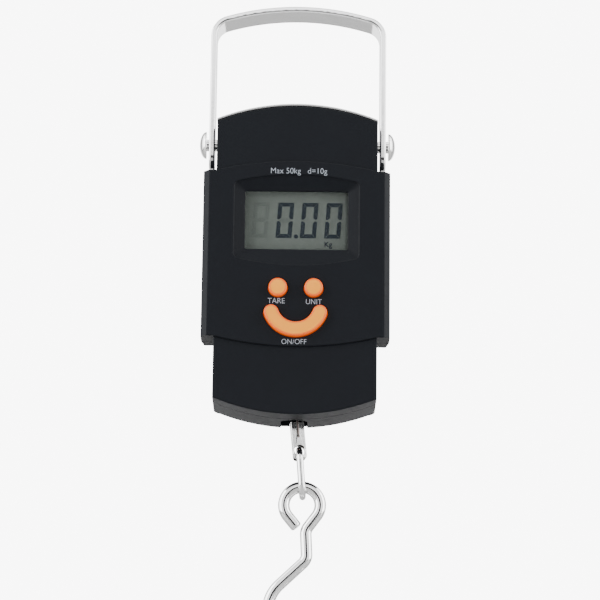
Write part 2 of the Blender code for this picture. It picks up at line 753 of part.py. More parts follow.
ZEBRA_HEIGHT = 0.0022
zebra_bottom = WINDOW_CENTRE - LENS_HALF_HEIGHT + CLEARANCE
boxes(
    "zebra_strip",
    [
        (
            (-WINDOW_WIDTH / 2, GLASS_BACK + FINE_GAP, zebra_bottom),
            (WINDOW_WIDTH / 2, BOARD_FRONT - FINE_GAP, zebra_bottom + ZEBRA_HEIGHT),
        )
    ],
    RUBBER,
)


def circle(centre, radius, steps=SMALL_STEPS):
    return arc(centre, radius, 0, 360, steps)[:-1]


board_outline = rounded_rectangle(-BOARD_WIDTH / 2, BOARD_BOTTOM, BOARD_WIDTH / 2, BOARD_TOP, 0.0008, 2)
board_holes = [circle(place, BOARD_SCREW_RADIUS + FINE_GAP, 12) for place in BOARD_SCREWS]
front_prism("circuit_board", [board_outline, *board_holes], BOARD_FRONT, BOARD_BACK, BOARD_GREEN)
for label, place in zip(CASE_SCREW_NAMES, BOARD_SCREWS):
    seat = BOARD_BACK + FINE_GAP
    screw(f"board_screw_{label}", place, seat, BOARD_SCREW_RADIUS, 0.0019, 0.0013, BOARD_THICKNESS + 0.0030, True)
chip_profile = [(0, 0.0008), (0.0022, 0.0007), (0.0036, 0.0004), (0.0042, 0), (0, 0)]
CHIP_PLACE = (-0.0140, BOARD_BACK + FINE_GAP, 0.0480)
turned("chip_cap", chip_profile, EPOXY, case_origin, CHIP_PLACE, (-pi / 2, 0, 0), SMALL_STEPS)

# --- Buttons and their rubber pad ---------------------------------------------------------------------------

BUTTON_BACK = CASE_WALL + FINE_GAP + BUTTON_FLANGE
button_holder = empty("button_axes", (0, 0, 0), case_origin)


def round_button(name, place):
    holder = empty(f"{name}_slide", (place[0], 0, place[1]), button_holder)
    flange = ROUND_BUTTON_RADIUS + BUTTON_FLANGE_RIM
    front = BELT_PROUD + BUTTON_PROUD
    profile = [
        (0, front),
        (ROUND_BUTTON_RADIUS * 0.8, front),
        (ROUND_BUTTON_RADIUS, front - 0.0006),
        (ROUND_BUTTON_RADIUS, -CASE_WALL - FINE_GAP),
        (flange, -CASE_WALL - FINE_GAP),
        (flange, -BUTTON_BACK),
        (0.0016, -BUTTON_BACK),
        (0.0016, -BUTTON_BACK - 0.0008),
        (0, -BUTTON_BACK - 0.0008),
    ]
    return turned(name, profile, ORANGE, holder, (0, 0, 0), (pi / 2, 0, 0))


round_button("tare_button", ROUND_BUTTONS[0])
round_button("unit_button", ROUND_BUTTONS[1])
power_button = front_prism(
    "power_button",
    [curved_button_outline()],
    -BELT_PROUD - BUTTON_PROUD,
    CASE_WALL + FINE_GAP + BUTTON_FLANGE / 2,
    ORANGE,
)
power_flange = front_prism(
    "power_flange", [curved_button_outline(BUTTON_FLANGE_RIM)], CASE_WALL + FINE_GAP, BUTTON_BACK
)
POWER_CONTACT = (0, CURVED_BUTTON_CENTRE - CURVED_BUTTON_RADIUS)
power_peg = rods("power_peg", [POWER_CONTACT], 0.0016, BUTTON_BACK - 0.0004, BUTTON_BACK + 0.0008, "Y")
boolean(power_button, "UNION", power_flange)
boolean(power_button, "UNION", power_peg)

PAD_BACK = BOARD_FRONT - FINE_GAP
PAD_FRONT = PAD_BACK - 0.0008
PAD_DOME = BUTTON_BACK + 0.0008 + BUTTON_TRAVEL + FINE_GAP
pad_outline = rounded_rectangle(-0.0125, POWER_CONTACT[1] - 0.0040, 0.0125, ROUND_BUTTON_HEIGHT + 0.0040, 0.0020, 4)
rubber_keypad = front_prism("rubber_keypad", [pad_outline], PAD_FRONT, PAD_BACK, RUBBER)
pad_domes = rods("pad_domes", [*ROUND_BUTTONS, POWER_CONTACT], 0.0019, PAD_DOME, PAD_FRONT + 0.0004, "Y")
boolean(rubber_keypad, "UNION", pad_domes)

# --- Chrome yoke over the case ------------------------------------------------------------------------------

YOKE_OVERHANG = 0.0001  # how far the strip runs past the legs at each side
yoke_half = HALF_WIDTH + YOKE_OVERHANG
yoke_outer = crowned(yoke_half, CASE_SIDE_TOP + YOKE_THICKNESS, CASE_HEIGHT + YOKE_THICKNESS)
yoke_inner = crowned(yoke_half, CASE_SIDE_TOP + FINE_GAP, CASE_HEIGHT + FINE_GAP)
YOKE_FRONT = 0.0002
YOKE_BACK = CASE_DEPTH - CASE_BACK_RADIUS
top_yoke = front_prism("top_yoke", [yoke_outer + yoke_inner[::-1]], YOKE_FRONT, YOKE_BACK, CHROME)
yoke_legs = boxes(
    "yoke_legs",
    [
        (
            (min(side * YOKE_INSIDE, side * HALF_WIDTH), YOKE_LEG_FRONT, YOKE_LEG_END),
            (max(side * YOKE_INSIDE, side * HALF_WIDTH), YOKE_LEG_BACK, CASE_SIDE_TOP + YOKE_THICKNESS * 0.7),
        )
        for side in (-1, 1)
    ],
)
boolean(top_yoke, "UNION", yoke_legs)
boolean(top_yoke, "DIFFERENCE", pivot_holes)

# --- Handle strap and its rivets ----------------------------------------------------------------------------


def strap_edge(inset):
    """One edge of the handle seen from the front: an arched top that runs into round shoulders and legs."""
    half = STRAP_SPAN / 2 - inset
    arch = STRAP_ARCH_RADIUS - inset
    shoulder = STRAP_CORNER - inset
    arch_centre = GRIP_ABOVE_PIVOT + STRAP_THICKNESS - STRAP_ARCH_RADIUS
    across = half - shoulder
    rise = sqrt((arch - shoulder) ** 2 - across**2)
    turn = degrees(atan2(rise, across))
    right = [(half, -STRAP_TAIL)] + arc((across, arch_centre + rise), shoulder, 0, turn, 7)
    top = arc((0, arch_centre), arch, turn, 180 - turn, 16)
    return right + top[1:-1] + reversed_x(right)[::-1]


handle_strap = front_prism(
    "handle_strap", [strap_edge(0) + strap_edge(STRAP_THICKNESS)[::-1]], -STRAP_WIDTH / 2, STRAP_WIDTH / 2, CHROME, handle_origin
)
strap_side = side_prism(
    "strap_side",
    [
        rounded_rectangle(
            -STRAP_WIDTH / 2, -STRAP_TAIL, STRAP_WIDTH / 2, GRIP_ABOVE_PIVOT + 0.03, STRAP_TAIL_RADIUS, 5
        )
    ],
    -STRAP_SPAN,
    STRAP_SPAN,
    None,
    handle_origin,
)
strap_holes = rods(
    "strap_holes", [(0, 0)], RIVET_RADIUS + CLEARANCE, -STRAP_SPAN, STRAP_SPAN, "X", None, handle_origin
)
boolean(handle_strap, "INTERSECT", strap_side)
boolean(handle_strap, "DIFFERENCE", strap_holes)

EAR_INSIDE = INSIDE_HALF - CLEARANCE - HANGER_THICKNESS
for label, turn in (("left", -pi / 2), ("right", pi / 2)):
    head = STRAP_SPAN / 2 + RIVET_HEAD_STANDOFF
    shoulder = HALF_WIDTH + FINE_GAP
    tail = EAR_INSIDE - FINE_GAP
    rivet_profile = [
        (0, head + RIVET_HEAD_HEIGHT),
        (RIVET_HEAD_RADIUS * 0.45, head + RIVET_HEAD_HEIGHT * 0.90),
        (RIVET_HEAD_RADIUS * 0.80, head + RIVET_HEAD_HEIGHT * 0.58),
        (RIVET_HEAD_RADIUS, head + RIVET_HEAD_HEIGHT * 0.15),
        (RIVET_HEAD_RADIUS, head),
        (RIVET_RADIUS, head),
        (RIVET_RADIUS, shoulder),
        (RIVET_SHANK_RADIUS, shoulder),
        (RIVET_SHANK_RADIUS, tail),
        (0.0027, tail),
        (0.0023, tail - 0.0010),
        (0, tail - 0.0010),
    ]
    rivet_place = (0, PIVOT_DEPTH, PIVOT_HEIGHT)
    turned(f"handle_rivet_{label}", rivet_profile, CHROME, case_origin, rivet_place, (0, turn, 0), SMALL_STEPS)

# --- Hanger plate, load cell and its fixings ----------------------------------------------------------------

HANGER_BACK = HANGER_FRONT + HANGER_THICKNESS
HANGER_MIDDLE = HANGER_FRONT + HANGER_THICKNESS / 2
HANGER_SHOULDER = PIVOT_HEIGHT - 0.0046
HANGER_FALL = 0.0005  # how far the arms slope down towards the web
HANGER_TOP = PIVOT_HEIGHT + 0.0022
EAR_OUTSIDE = INSIDE_HALF - CLEARANCE
EAR_MIDDLE = (EAR_INSIDE + EAR_OUTSIDE) / 2
EAR_MARGIN = 0.0004  # how much taller the ears are than the plate they grow from
HANGER_BOTTOM = CELL_TOP - 0.0120
hanger_outline = [
    (-HANGER_WEB_WIDTH / 2, HANGER_BOTTOM),
    (HANGER_WEB_WIDTH / 2, HANGER_BOTTOM),
    (HANGER_WEB_WIDTH / 2, HANGER_SHOULDER - HANGER_FALL),
    (EAR_MIDDLE, HANGER_SHOULDER),
    (EAR_MIDDLE, HANGER_TOP),
    (-EAR_MIDDLE, HANGER_TOP),
    (-EAR_MIDDLE, HANGER_SHOULDER),
    (-HANGER_WEB_WIDTH / 2, HANGER_SHOULDER - HANGER_FALL),
]
CELL_SCREWS = [(0, CELL_TOP - 0.0030), (0, CELL_TOP - 0.0090)]
hanger_plate = front_prism(
    "hanger_plate",
    [hanger_outline, *[circle(place, CELL_SCREW_RADIUS + FINE_GAP) for place in CELL_SCREWS]],
    HANGER_FRONT,
    HANGER_BACK,
    STEEL,
)
hanger_ears = boxes(
    "hanger_ears",
    [
        (
            (min(side * EAR_INSIDE, side * EAR_OUTSIDE), HANGER_MIDDLE, HANGER_SHOULDER - EAR_MARGIN),
            (max(side * EAR_INSIDE, side * EAR_OUTSIDE), PIVOT_DEPTH + 0.0045, HANGER_TOP + EAR_MARGIN),
        )
        for side in (-1, 1)
    ],
)
boolean(hanger_plate, "UNION", hanger_ears)
boolean(hanger_plate, "DIFFERENCE", pivot_holes)

load_cell = boxes(
    "load_cell",
    [((-CELL_WIDTH / 2, CELL_FRONT, CELL_BOTTOM), (CELL_WIDTH / 2, CELL_FRONT + CELL_DEPTH, CELL_TOP))],
    ALUMINIUM,
)
CELL_MIDDLE = (CELL_BOTTOM + CELL_TOP) / 2 - 0.0010
CELL_SLOT_OFFSET = 0.0062
cell_slots = boxes(
    "cell_slots",
    [
        (
            (-CELL_WIDTH, CELL_FRONT - BEYOND, CELL_MIDDLE + CELL_SLOT_OFFSET),
            (CELL_WIDTH * 0.25, CELL_FRONT + CELL_DEPTH + BEYOND, CELL_MIDDLE + CELL_SLOT_OFFSET + CELL_SLOT),
        ),
        (
            (-CELL_WIDTH * 0.25, CELL_FRONT - BEYOND, CELL_MIDDLE - CELL_SLOT_OFFSET - CELL_SLOT),
            (CELL_WIDTH, CELL_FRONT + CELL_DEPTH + BEYOND, CELL_MIDDLE - CELL_SLOT_OFFSET),
        ),
    ],
)
cell_bores = rods(
    "cell_bores",
    [(0, CELL_MIDDLE)],
    0.0032,
    CELL_FRONT - BEYOND,
    CELL_FRONT + CELL_DEPTH + BEYOND,
    "Y",
    steps=ROUND_STEPS,
)
FORK_TOP = LOAD_PIN_HEIGHT + STEM_EYE_RADIUS + CLEARANCE
fork_half = STEM_EYE_THICKNESS / 2 + CLEARANCE
fork_gap = boxes(
    "fork_gap",
    [
        (
            (-CELL_WIDTH, PIVOT_DEPTH - fork_half, CELL_BOTTOM - BEYOND),
            (CELL_WIDTH, PIVOT_DEPTH + fork_half, FORK_TOP),
        )
    ],
)
LOAD_PIN_PLACE = [(0, LOAD_PIN_HEIGHT)]
load_pin_bore = rods(
    "load_pin_bore",
    LOAD_PIN_PLACE,
    LOAD_PIN_RADIUS + FINE_GAP,
    CELL_FRONT - BEYOND,
    CELL_FRONT + CELL_DEPTH + BEYOND,
    "Y",
)
cell_screw_bores = rods(
    "cell_screw_bores", CELL_SCREWS, CELL_SCREW_RADIUS + FINE_GAP, CELL_FRONT - BEYOND, CELL_FRONT + 0.0066, "Y"
)
for cutter in (cell_slots, cell_bores, fork_gap, load_pin_bore, cell_screw_bores):
    boolean(load_cell, "DIFFERENCE", cutter)

rods("load_pin", LOAD_PIN_PLACE, LOAD_PIN_RADIUS, CELL_FRONT, CELL_FRONT + CELL_DEPTH, "Y", STEEL)
for label, place in zip(("upper", "lower"), CELL_SCREWS):
    seat = HANGER_FRONT - FINE_GAP / 2
    screw(f"cell_screw_{label}", place, seat, CELL_SCREW_RADIUS, 0.0026, 0.0006, 0.0070, False)
GAUGE_THICKNESS = 0.0003
for label, side in (("left", -1), ("right", 1)):
    edges = sorted((side * (CELL_WIDTH / 2 + FINE_GAP), side * (CELL_WIDTH / 2 + FINE_GAP + GAUGE_THICKNESS)))
    boxes(
        f"strain_gauge_{label}",
        [
            (
                (edges[0], PIVOT_DEPTH - 0.0020, CELL_MIDDLE - 0.0035),
                (edges[1], PIVOT_DEPTH + 0.0020, CELL_MIDDLE + 0.0035),
            )
        ],
        GAUGE_FOIL,
    )

lead_start = (CELL_WIDTH / 2 + FINE_GAP + GAUGE_THICKNESS + 0.0010, PIVOT_DEPTH, CELL_MIDDLE)
gauge_lead_route = [
    lead_start,
    (lead_start[0] + 0.0012, PIVOT_DEPTH - 0.0004, CELL_MIDDLE + 0.0016),
    (lead_start[0] + 0.0020, PIVOT_DEPTH - 0.0016, CELL_MIDDLE + 0.0042),
    (lead_start[0] + 0.0022, PIVOT_DEPTH - 0.0032, CELL_MIDDLE + 0.0066),
    (lead_start[0] + 0.0022, BOARD_BACK + 0.0014, CELL_MIDDLE + 0.0080),
    (lead_start[0] + 0.0022, BOARD_BACK + FINE_GAP, CELL_MIDDLE + 0.0084),
]
wire("gauge_leads", gauge_lead_route, 0.0006, WHITE_ABS, case_origin, sides=1)

# --- Batteries and contacts ---------------------------------------------------------------------------------

CONTACT_THICKNESS = 0.0004
CONTACT_INSET = tray_half - CLEARANCE - CONTACT_THICKNESS
NUB_LENGTH = 0.0008
battery_profile = [
    (0, BATTERY_LENGTH / 2),
    (0.0019, BATTERY_LENGTH / 2),
    (0.0019, BATTERY_LENGTH / 2 - NUB_LENGTH),
    (BATTERY_RADIUS - 0.0004, BATTERY_LENGTH / 2 - NUB_LENGTH),
    (BATTERY_RADIUS, BATTERY_LENGTH / 2 - NUB_LENGTH - 0.0004),
    (BATTERY_RADIUS, -BATTERY_LENGTH / 2 + 0.0004),
    (BATTERY_RADIUS - 0.0004, -BATTERY_LENGTH / 2),
    (0, -BATTERY_LENGTH / 2),
]
SPRING_WIRE = 0.00022
spring_turns = 3
spring_length = 2 * CONTACT_INSET - BATTERY_LENGTH - CLEARANCE * 2 - SPRING_WIRE * 2


def spring_route(direction):
    """A conical coil along x, wide at the contact plate and narrow at the battery."""
    points = []
    for i in range(spring_turns * 10 + 1):
        share = i / (spring_turns * 10)
        radius = 0.0034 - 0.0016 * share
        turn = 2 * pi * spring_turns * share
        points.append((direction * spring_length * share, radius * cos(turn), radius * sin(turn)))
    return points


for label, level, side in (("upper", 0.5, 1), ("lower", -0.5, -1)):
    height = BATTERY_CENTRE + level * BATTERY_PITCH
    shift = side * (CONTACT_INSET - CLEARANCE - BATTERY_LENGTH / 2)
    place = (shift, BATTERY_DEPTH, height)
    turned(f"battery_{label}", battery_profile, BATTERY_SKIN, case_origin, place, (0, side * pi / 2, 0))
    spring_base = (-side * (CONTACT_INSET - CLEARANCE - SPRING_WIRE), BATTERY_DEPTH, height)
    wire(f"contact_spring_{label}", spring_route(side), SPRING_WIRE, STEEL, case_origin, spring_base, sides=0)
for label, side in (("left", -1), ("right", 1)):
    edges = sorted((side * CONTACT_INSET, side * (CONTACT_INSET + CONTACT_THICKNESS)))
    boxes(
        f"battery_contact_{label}",
        [
            (
                (edges[0], TRAY_FLOOR + 0.0012, TRAY_BOTTOM + CLEARANCE),
                (edges[1], CASE_DEPTH - DOOR_THICKNESS - 0.0010, TRAY_TOP - CLEARANCE),
            )
        ],
        STEEL,
    )

# --- Stem, clevis, link and hook ----------------------------------------------------------------------------


def leaned(lean, drop):
    """A step down a line that leans towards +x at its lower end."""
    return Vector((sin(lean) * drop, 0, -cos(lean) * drop))


load_point = Vector((0, PIVOT_DEPTH, LOAD_PIN_HEIGHT))
stem_axis = empty("stem_axis", load_point, case_origin, (0, -STEM_LEAN, 0))
stem_eye = rods("load_stem", [(0, 0)], STEM_EYE_RADIUS, -STEM_EYE_THICKNESS / 2, STEM_EYE_THICKNESS / 2, "Y", STEEL, stem_axis)
CHAMBER_TOP = 0.0108
HEAD_TOP = CHAMBER_TOP + CLEARANCE / 2
HEAD_THICKNESS = 0.0010
stem_rod = rods("stem_rod", [(0, 0)], STEM_RADIUS, -HEAD_TOP - HEAD_THICKNESS / 2, -0.0018, "Z", None, stem_axis)
stem_head = rods(
    "stem_head", [(0, 0)], STEM_HEAD_RADIUS, -HEAD_TOP - HEAD_THICKNESS, -HEAD_TOP, "Z", None, stem_axis
)
stem_bore = rods("stem_bore", [(0, 0)], LOAD_PIN_RADIUS + FINE_GAP, -0.003, 0.003, "Y", None, stem_axis)
boolean(stem_eye, "UNION", stem_rod)
boolean(stem_eye, "UNION", stem_head)
boolean(stem_eye, "DIFFERENCE", stem_bore)

swivel_axis = empty("swivel_axis", (0, 0, 0), stem_axis, (0, 0, CLEVIS_TURN))
cheek_outline = rounded_rectangle(
    -CLEVIS_WIDTH / 2, -CLEVIS_END, CLEVIS_WIDTH / 2, -CLEVIS_TOP, 0.0012, 4
)
clevis = front_prism("clevis", [cheek_outline], -CLEVIS_FACE, -CLEVIS_FACE + CLEVIS_THICKNESS, CHROME, swivel_axis)
rear_cheek = front_prism(
    "rear_cheek", [cheek_outline], CLEVIS_FACE - CLEVIS_THICKNESS, CLEVIS_FACE, None, swivel_axis
)
sleeve = rods(
    "sleeve", [(0, 0)], CLEVIS_SLEEVE_RADIUS, -CLEVIS_SLEEVE_END, -CLEVIS_TOP + CLEARANCE, "Z", None, swivel_axis
)
sleeve_bore = rods(
    "sleeve_bore",
    [(0, 0)],
    STEM_RADIUS + CLEARANCE * 0.8,
    -CHAMBER_TOP - CLEARANCE,
    -CLEVIS_TOP + BEYOND,
    "Z",
    None,
    swivel_axis,
)
sleeve_chamber = rods(
    "sleeve_chamber",
    [(0, 0)],
    STEM_HEAD_RADIUS + CLEARANCE * 0.8,
    -CLEVIS_SLEEVE_END - BEYOND / 2,
    -CHAMBER_TOP,
    "Z",
    None,
    swivel_axis,
)
clevis_hole = rods(
    "clevis_hole",
    [(0, -CLEVIS_HOLE_DROP)],
    CLEVIS_HOLE_RADIUS,
    -CLEVIS_FACE - BEYOND,
    CLEVIS_FACE + BEYOND,
    "Y",
    None,
    swivel_axis,
    steps=20,
)
boolean(clevis, "UNION", rear_cheek)
boolean(clevis, "UNION", sleeve)
boolean(clevis, "DIFFERENCE", sleeve_bore)
boolean(clevis, "DIFFERENCE", sleeve_chamber)
boolean(clevis, "DIFFERENCE", clevis_hole)

# The link turns about the stretch of its wire that lies in the two cheeks.
CHEEK_MIDDLE = CLEVIS_FACE - CLEVIS_THICKNESS / 2
LINK_AXIS_DROP = LINK_END_RADIUS - sqrt(LINK_END_RADIUS**2 - CHEEK_MIDDLE**2)
link_point = load_point + leaned(STEM_LEAN, CLEVIS_HOLE_DROP)
link_axis = empty("link_axis", link_point, case_origin, (0, -LINK_LEAN, 0))
link_straight = LINK_LENGTH - 2 * LINK_END_RADIUS
upper_centre = LINK_AXIS_DROP - LINK_END_RADIUS
link_route = arc((0, upper_centre), LINK_END_RADIUS, 0, 180, 10)
link_route += arc((0, upper_centre - link_straight), LINK_END_RADIUS, 180, 360, 10)
wire("link_ring", [(0, y, z) for y, z in link_route], LINK_WIRE_RADIUS, CHROME, link_axis, closed=True)

# The hook turns about the top of its eye, where it sits on the link.
link_bottom = LINK_LENGTH - LINK_AXIS_DROP
hook_seat = link_bottom - LINK_WIRE_RADIUS - HOOK_WIRE_RADIUS - FINE_GAP
hook_point = link_point + leaned(LINK_LEAN, hook_seat)
hook_axis = empty("hook_axis", hook_point, case_origin, (0, -HOOK_LEAN, 0))

EYE_OPENING = 38  # degrees from upright at which both legs leave the eye
EYE_LEG = 0.0050
SHANK_TOP = (0.0011, -0.0149)
SHANK_BOTTOM = (0.0014, -0.0249)
TIP_ANGLE = -12  # where the bowl ends, in degrees from +x


def bend(before, corner, after, radius, steps=4):
    """A corner of a wire rounded to a radius."""
    corner = Vector(corner)
    toward = (Vector(before) - corner).normalized()
    onward = (Vector(after) - corner).normalized()
    half = toward.angle(onward) / 2
    middle = corner + (toward + onward).normalized() * (radius / sin(half))
    start = corner + toward * (toward.dot(middle - corner))
    end = corner + onward * (onward.dot(middle - corner))
    first = degrees(atan2(start.y - middle.y, start.x - middle.x))
    last = degrees(atan2(end.y - middle.y, end.x - middle.x))
    sweep = (last - first + 180) % 360 - 180
    return arc(middle, radius, first, first + sweep, steps)


def hook_route():
    """The bent wire seen from the front: eye, shank, jog, bowl and tip, from its free end to its tip."""
    eye = (0, -HOOK_EYE_RADIUS)
    bowl = (0, eye[1] - HOOK_BOWL_DROP)
    points = arc(eye, HOOK_EYE_RADIUS, 180 + EYE_OPENING, -EYE_OPENING, 22)
    opening = radians(EYE_OPENING)
    free_end = (points[0][0] + EYE_LEG * sin(opening), points[0][1] - EYE_LEG * cos(opening))
    from_bowl = Vector(SHANK_BOTTOM) - Vector(bowl)
    tangent = degrees(atan2(from_bowl.y, from_bowl.x) + acos(HOOK_BOWL_RADIUS / from_bowl.length))
    bowl_points = arc(bowl, HOOK_BOWL_RADIUS, tangent, 360 + TIP_ANGLE, 20)
    tip = radians(TIP_ANGLE)
    last = bowl_points[-1]
    tip_end = (last[0] - sin(tip) * HOOK_TIP_LENGTH, last[1] + cos(tip) * HOOK_TIP_LENGTH)
    neck = bend(points[-1], SHANK_TOP, SHANK_BOTTOM, 0.0040)
    jog = bend(SHANK_TOP, SHANK_BOTTOM, bowl_points[0], 0.0040)
    return [free_end, *points, *neck, *jog, *bowl_points, tip_end]


wire("hook", [(x, 0, z) for x, z in hook_route()], HOOK_WIRE_RADIUS, CHROME, hook_axis)

for made in parts.objects:
    if made.type == "MESH":
        smooth(made)
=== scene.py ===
"""The looks of a hanging digital scale: a dark plastic case on a chrome handle, with a link and a hook below.

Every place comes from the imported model. Lengths are in metres, +Z is up and the display faces -Y.
"""

import json
from math import acos, atan, atan2, cos, degrees, pi, radians, sin, sqrt

import bmesh
import bpy
from mathutils import Matrix, Vector


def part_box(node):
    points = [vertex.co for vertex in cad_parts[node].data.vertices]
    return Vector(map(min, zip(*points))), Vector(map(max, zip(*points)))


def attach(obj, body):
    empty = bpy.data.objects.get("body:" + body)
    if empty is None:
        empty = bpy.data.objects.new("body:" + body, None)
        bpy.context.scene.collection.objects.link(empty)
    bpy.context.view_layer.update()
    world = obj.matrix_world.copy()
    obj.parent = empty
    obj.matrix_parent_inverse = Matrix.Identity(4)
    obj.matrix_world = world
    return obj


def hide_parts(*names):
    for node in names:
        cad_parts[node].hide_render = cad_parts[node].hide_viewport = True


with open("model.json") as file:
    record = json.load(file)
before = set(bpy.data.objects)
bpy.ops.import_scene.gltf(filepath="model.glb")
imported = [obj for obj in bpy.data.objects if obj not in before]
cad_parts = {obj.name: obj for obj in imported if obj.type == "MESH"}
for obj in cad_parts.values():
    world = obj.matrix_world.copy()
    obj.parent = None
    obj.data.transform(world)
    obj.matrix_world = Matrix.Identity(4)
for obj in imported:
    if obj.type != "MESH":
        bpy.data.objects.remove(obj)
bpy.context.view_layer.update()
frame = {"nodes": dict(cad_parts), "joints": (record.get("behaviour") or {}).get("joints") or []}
pivots = {joint["name"]: Vector(joint.get("pos_m", (0, 0, 0))) for joint in frame["joints"]}

# --- Camera, light and floor --------------------------------------------------------------------------------
# The scale hangs over a pale floor and is seen from a little below. A white surround lights it. It is dark
# underneath and round the viewer, which draws the dark lines on the chrome.

CAMERA_PLACE = (-0.00016, -0.8910, -0.3345)
CAMERA_TILT = radians(14.49)
CAMERA_ROLL = radians(0.68)
CAMERA_TURN = radians(-0.11)
LENS, SENSOR_WIDTH = 158.9, 36
FLOOR_LEVEL, FLOOR_SIZE = -0.42, 4


def stood(name, data):
    """A new object for some data, linked to the scene."""
    piece = bpy.data.objects.new(name, data)
    bpy.context.scene.collection.objects.link(piece)
    return piece


camera = stood("camera", bpy.data.cameras.new("camera"))
camera.data.lens = LENS
camera.data.sensor_width = SENSOR_WIDTH
camera.data.clip_start = 0.01
turned_and_tilted = Matrix.Rotation(CAMERA_TURN, 4, "Z") @ Matrix.Rotation(pi / 2 + CAMERA_TILT, 4, "X")
rolled = Matrix.Rotation(CAMERA_ROLL, 4, "Z")
camera.matrix_world = Matrix.Translation(CAMERA_PLACE) @ turned_and_tilted @ rolled
bpy.context.scene.camera = camera

bpy.ops.object.select_all(action="DESELECT")
bpy.ops.mesh.primitive_grid_add(
    x_subdivisions=12, y_subdivisions=12, size=FLOOR_SIZE, location=(0, 0, FLOOR_LEVEL)
)
floor = bpy.context.object
floor.name = "floor"
bpy.ops.object.transform_apply()


class Shade:
    """One value in a material. Arithmetic on it adds Math nodes, and node() adds a node of any other kind."""

    def __init__(self, socket):
        self.socket = socket

    def node(self, kind, settings, sockets, output=0):
        made = self.socket.id_data.nodes.new(kind)
        for name, value in settings.items():
            if name == "stops":
                elements = made.color_ramp.elements
                for place, shade in value:
                    elements.new(place).color = (shade, shade, shade, 1)
                elements.remove(elements[0])
                elements.remove(elements[-1])
            else:
                setattr(made, name, value)
        for name, value in sockets.items():
            if isinstance(value, Shade):
                self.socket.id_data.links.new(value.socket, made.inputs[name])
            else:
                made.inputs[name].default_value = value
        return Shade(made.outputs[output])

    def feed(self, shader, name):
        self.socket.id_data.links.new(self.socket, shader.inputs[name])

    def math(self, operation, first, second=0.0):
        return self.node("ShaderNodeMath", {"operation": operation}, {0: first, 1: second})

    def __add__(self, other):
        return self.math("ADD", self, other)

    def __radd__(self, other):
        return self.math("ADD", other, self)

    def __sub__(self, other):
        return self.math("SUBTRACT", self, other)

    def __rsub__(self, other):
        return self.math("SUBTRACT", other, self)

    def __mul__(self, other):
        return self.math("MULTIPLY", self, other)

    def __rmul__(self, other):
        return self.math("MULTIPLY", other, self)

    def __truediv__(self, other):
        return self.math("DIVIDE", self, other)

    def __pow__(self, other):
        return self.math("POWER", self, other)


def finish_of(name, **fixed):
    """A new material with its constants set, as (material, shader, object coordinates)."""
    material = bpy.data.materials.new(name)
    material.use_nodes = True
    shader = material.node_tree.nodes["Principled BSDF"]
    for socket, value in fixed.items():
        shader.inputs[socket.replace("_", " ")].default_value = value
    place = material.node_tree.nodes.new("ShaderNodeTexCoord").outputs["Object"]
    return material, shader, Shade(place)


def speckle(place, size, detail=2.0):
    """Soft random patches of about this size, from 0 to 1."""
    return place.node("ShaderNodeTexNoise", {}, {"Vector": place, "Scale": 1 / size, "Detail": detail})


def streaks(place, scale, detail, distortion):
    """Random patches drawn out into swirls, from 0 to 1."""
    sockets = {"Vector": place, "Scale": scale, "Detail": detail, "Distortion": distortion}
    return place.node("ShaderNodeTexNoise", {}, sockets)


def parts_of(place, *parts):
    """The chosen parts of a place: 0 is across, 1 is depth and 2 is height."""
    return [place.node("ShaderNodeSeparateXYZ", {}, {"Vector": place}, part) for part in parts]


def eased(value, low, high, start, end):
    """A number that runs from start to end as a value goes from low to high, and stays between them."""
    return value.node("ShaderNodeMapRange", {}, {0: value, 1: low, 2: high, 3: start, 4: end})


def blend_of(factor, first, second):
    """A colour between two."""
    sockets = {0: factor, 6: first, 7: second}
    for name in (6, 7):
        if isinstance(sockets[name], tuple):
            sockets[name] = (*sockets[name], 1)
    return factor.node("ShaderNodeMix", {"data_type": "RGBA"}, sockets, 2)


def roughened(shader, place, height, depth, strength):
    """A bump of this depth from a height between 0 and 1."""
    bump = place.node("ShaderNodeBump", {}, {"Height": height, "Distance": depth, "Strength": strength})
    bump.feed(shader, "Normal")


floor_finish, shader, place = finish_of("pale floor", Roughness=0.7)
patches = speckle(place, 0.05)
blend_of(patches, (0.78, 0.78, 0.77), (0.82, 0.82, 0.81)).feed(shader, "Base Color")
(0.62 + patches * 0.15).feed(shader, "Roughness")
floor.data.materials.append(floor_finish)

world = bpy.data.worlds.new("studio")
bpy.context.scene.world = world
world.use_nodes = True
surround = world.node_tree.nodes["Background"]
facing = Shade(world.node_tree.nodes.new("ShaderNodeTexCoord").outputs["Generated"])
depth, level = parts_of(facing, 1, 2)
# Both ramps hold (place, brightness) stops. The first runs from behind the viewer (0), past the sides (0.5),
# to behind the scale (1), and the second from straight down (0) to straight up (1).
ROUND_THE_SIDES = [
    (0.0, 0.9), (0.05, 0.85), (0.11, 0.50), (0.28, 0.50), (0.42, 1.5), (0.60, 1.2),
    (0.76, 0.10), (0.90, 0.30), (1.0, 0.32),
]
DOWN_TO_UP = [(0.0, 0.03), (0.085, 0.05), (0.15, 1.0), (0.88, 1.0), (0.95, 0.25), (1.0, 0.9)]
VIEWER_WAY = (0.0, -0.994, -0.10)
VIEWER_SHADOW = (0.90, 0.93, 1.0, 0.02)
SURROUND_SHINE, SURROUND_MATT_LOSS, SURROUND_SEEN = 3.6, 2.8, 8.5
sides = depth.node("ShaderNodeValToRGB", {"stops": ROUND_THE_SIDES}, {"Fac": depth * 0.5 + 0.5})
heights = level.node("ShaderNodeValToRGB", {"stops": DOWN_TO_UP}, {"Fac": level * 0.5 + 0.5})
path = world.node_tree.nodes.new("ShaderNodeLightPath").outputs
seen, scattered = Shade(path["Is Camera Ray"]), Shade(path["Is Diffuse Ray"])
viewer = facing.node("ShaderNodeVectorMath", {"operation": "DOT_PRODUCT"}, {0: facing, 1: VIEWER_WAY}, 1)
shadow = eased(viewer, *VIEWER_SHADOW)
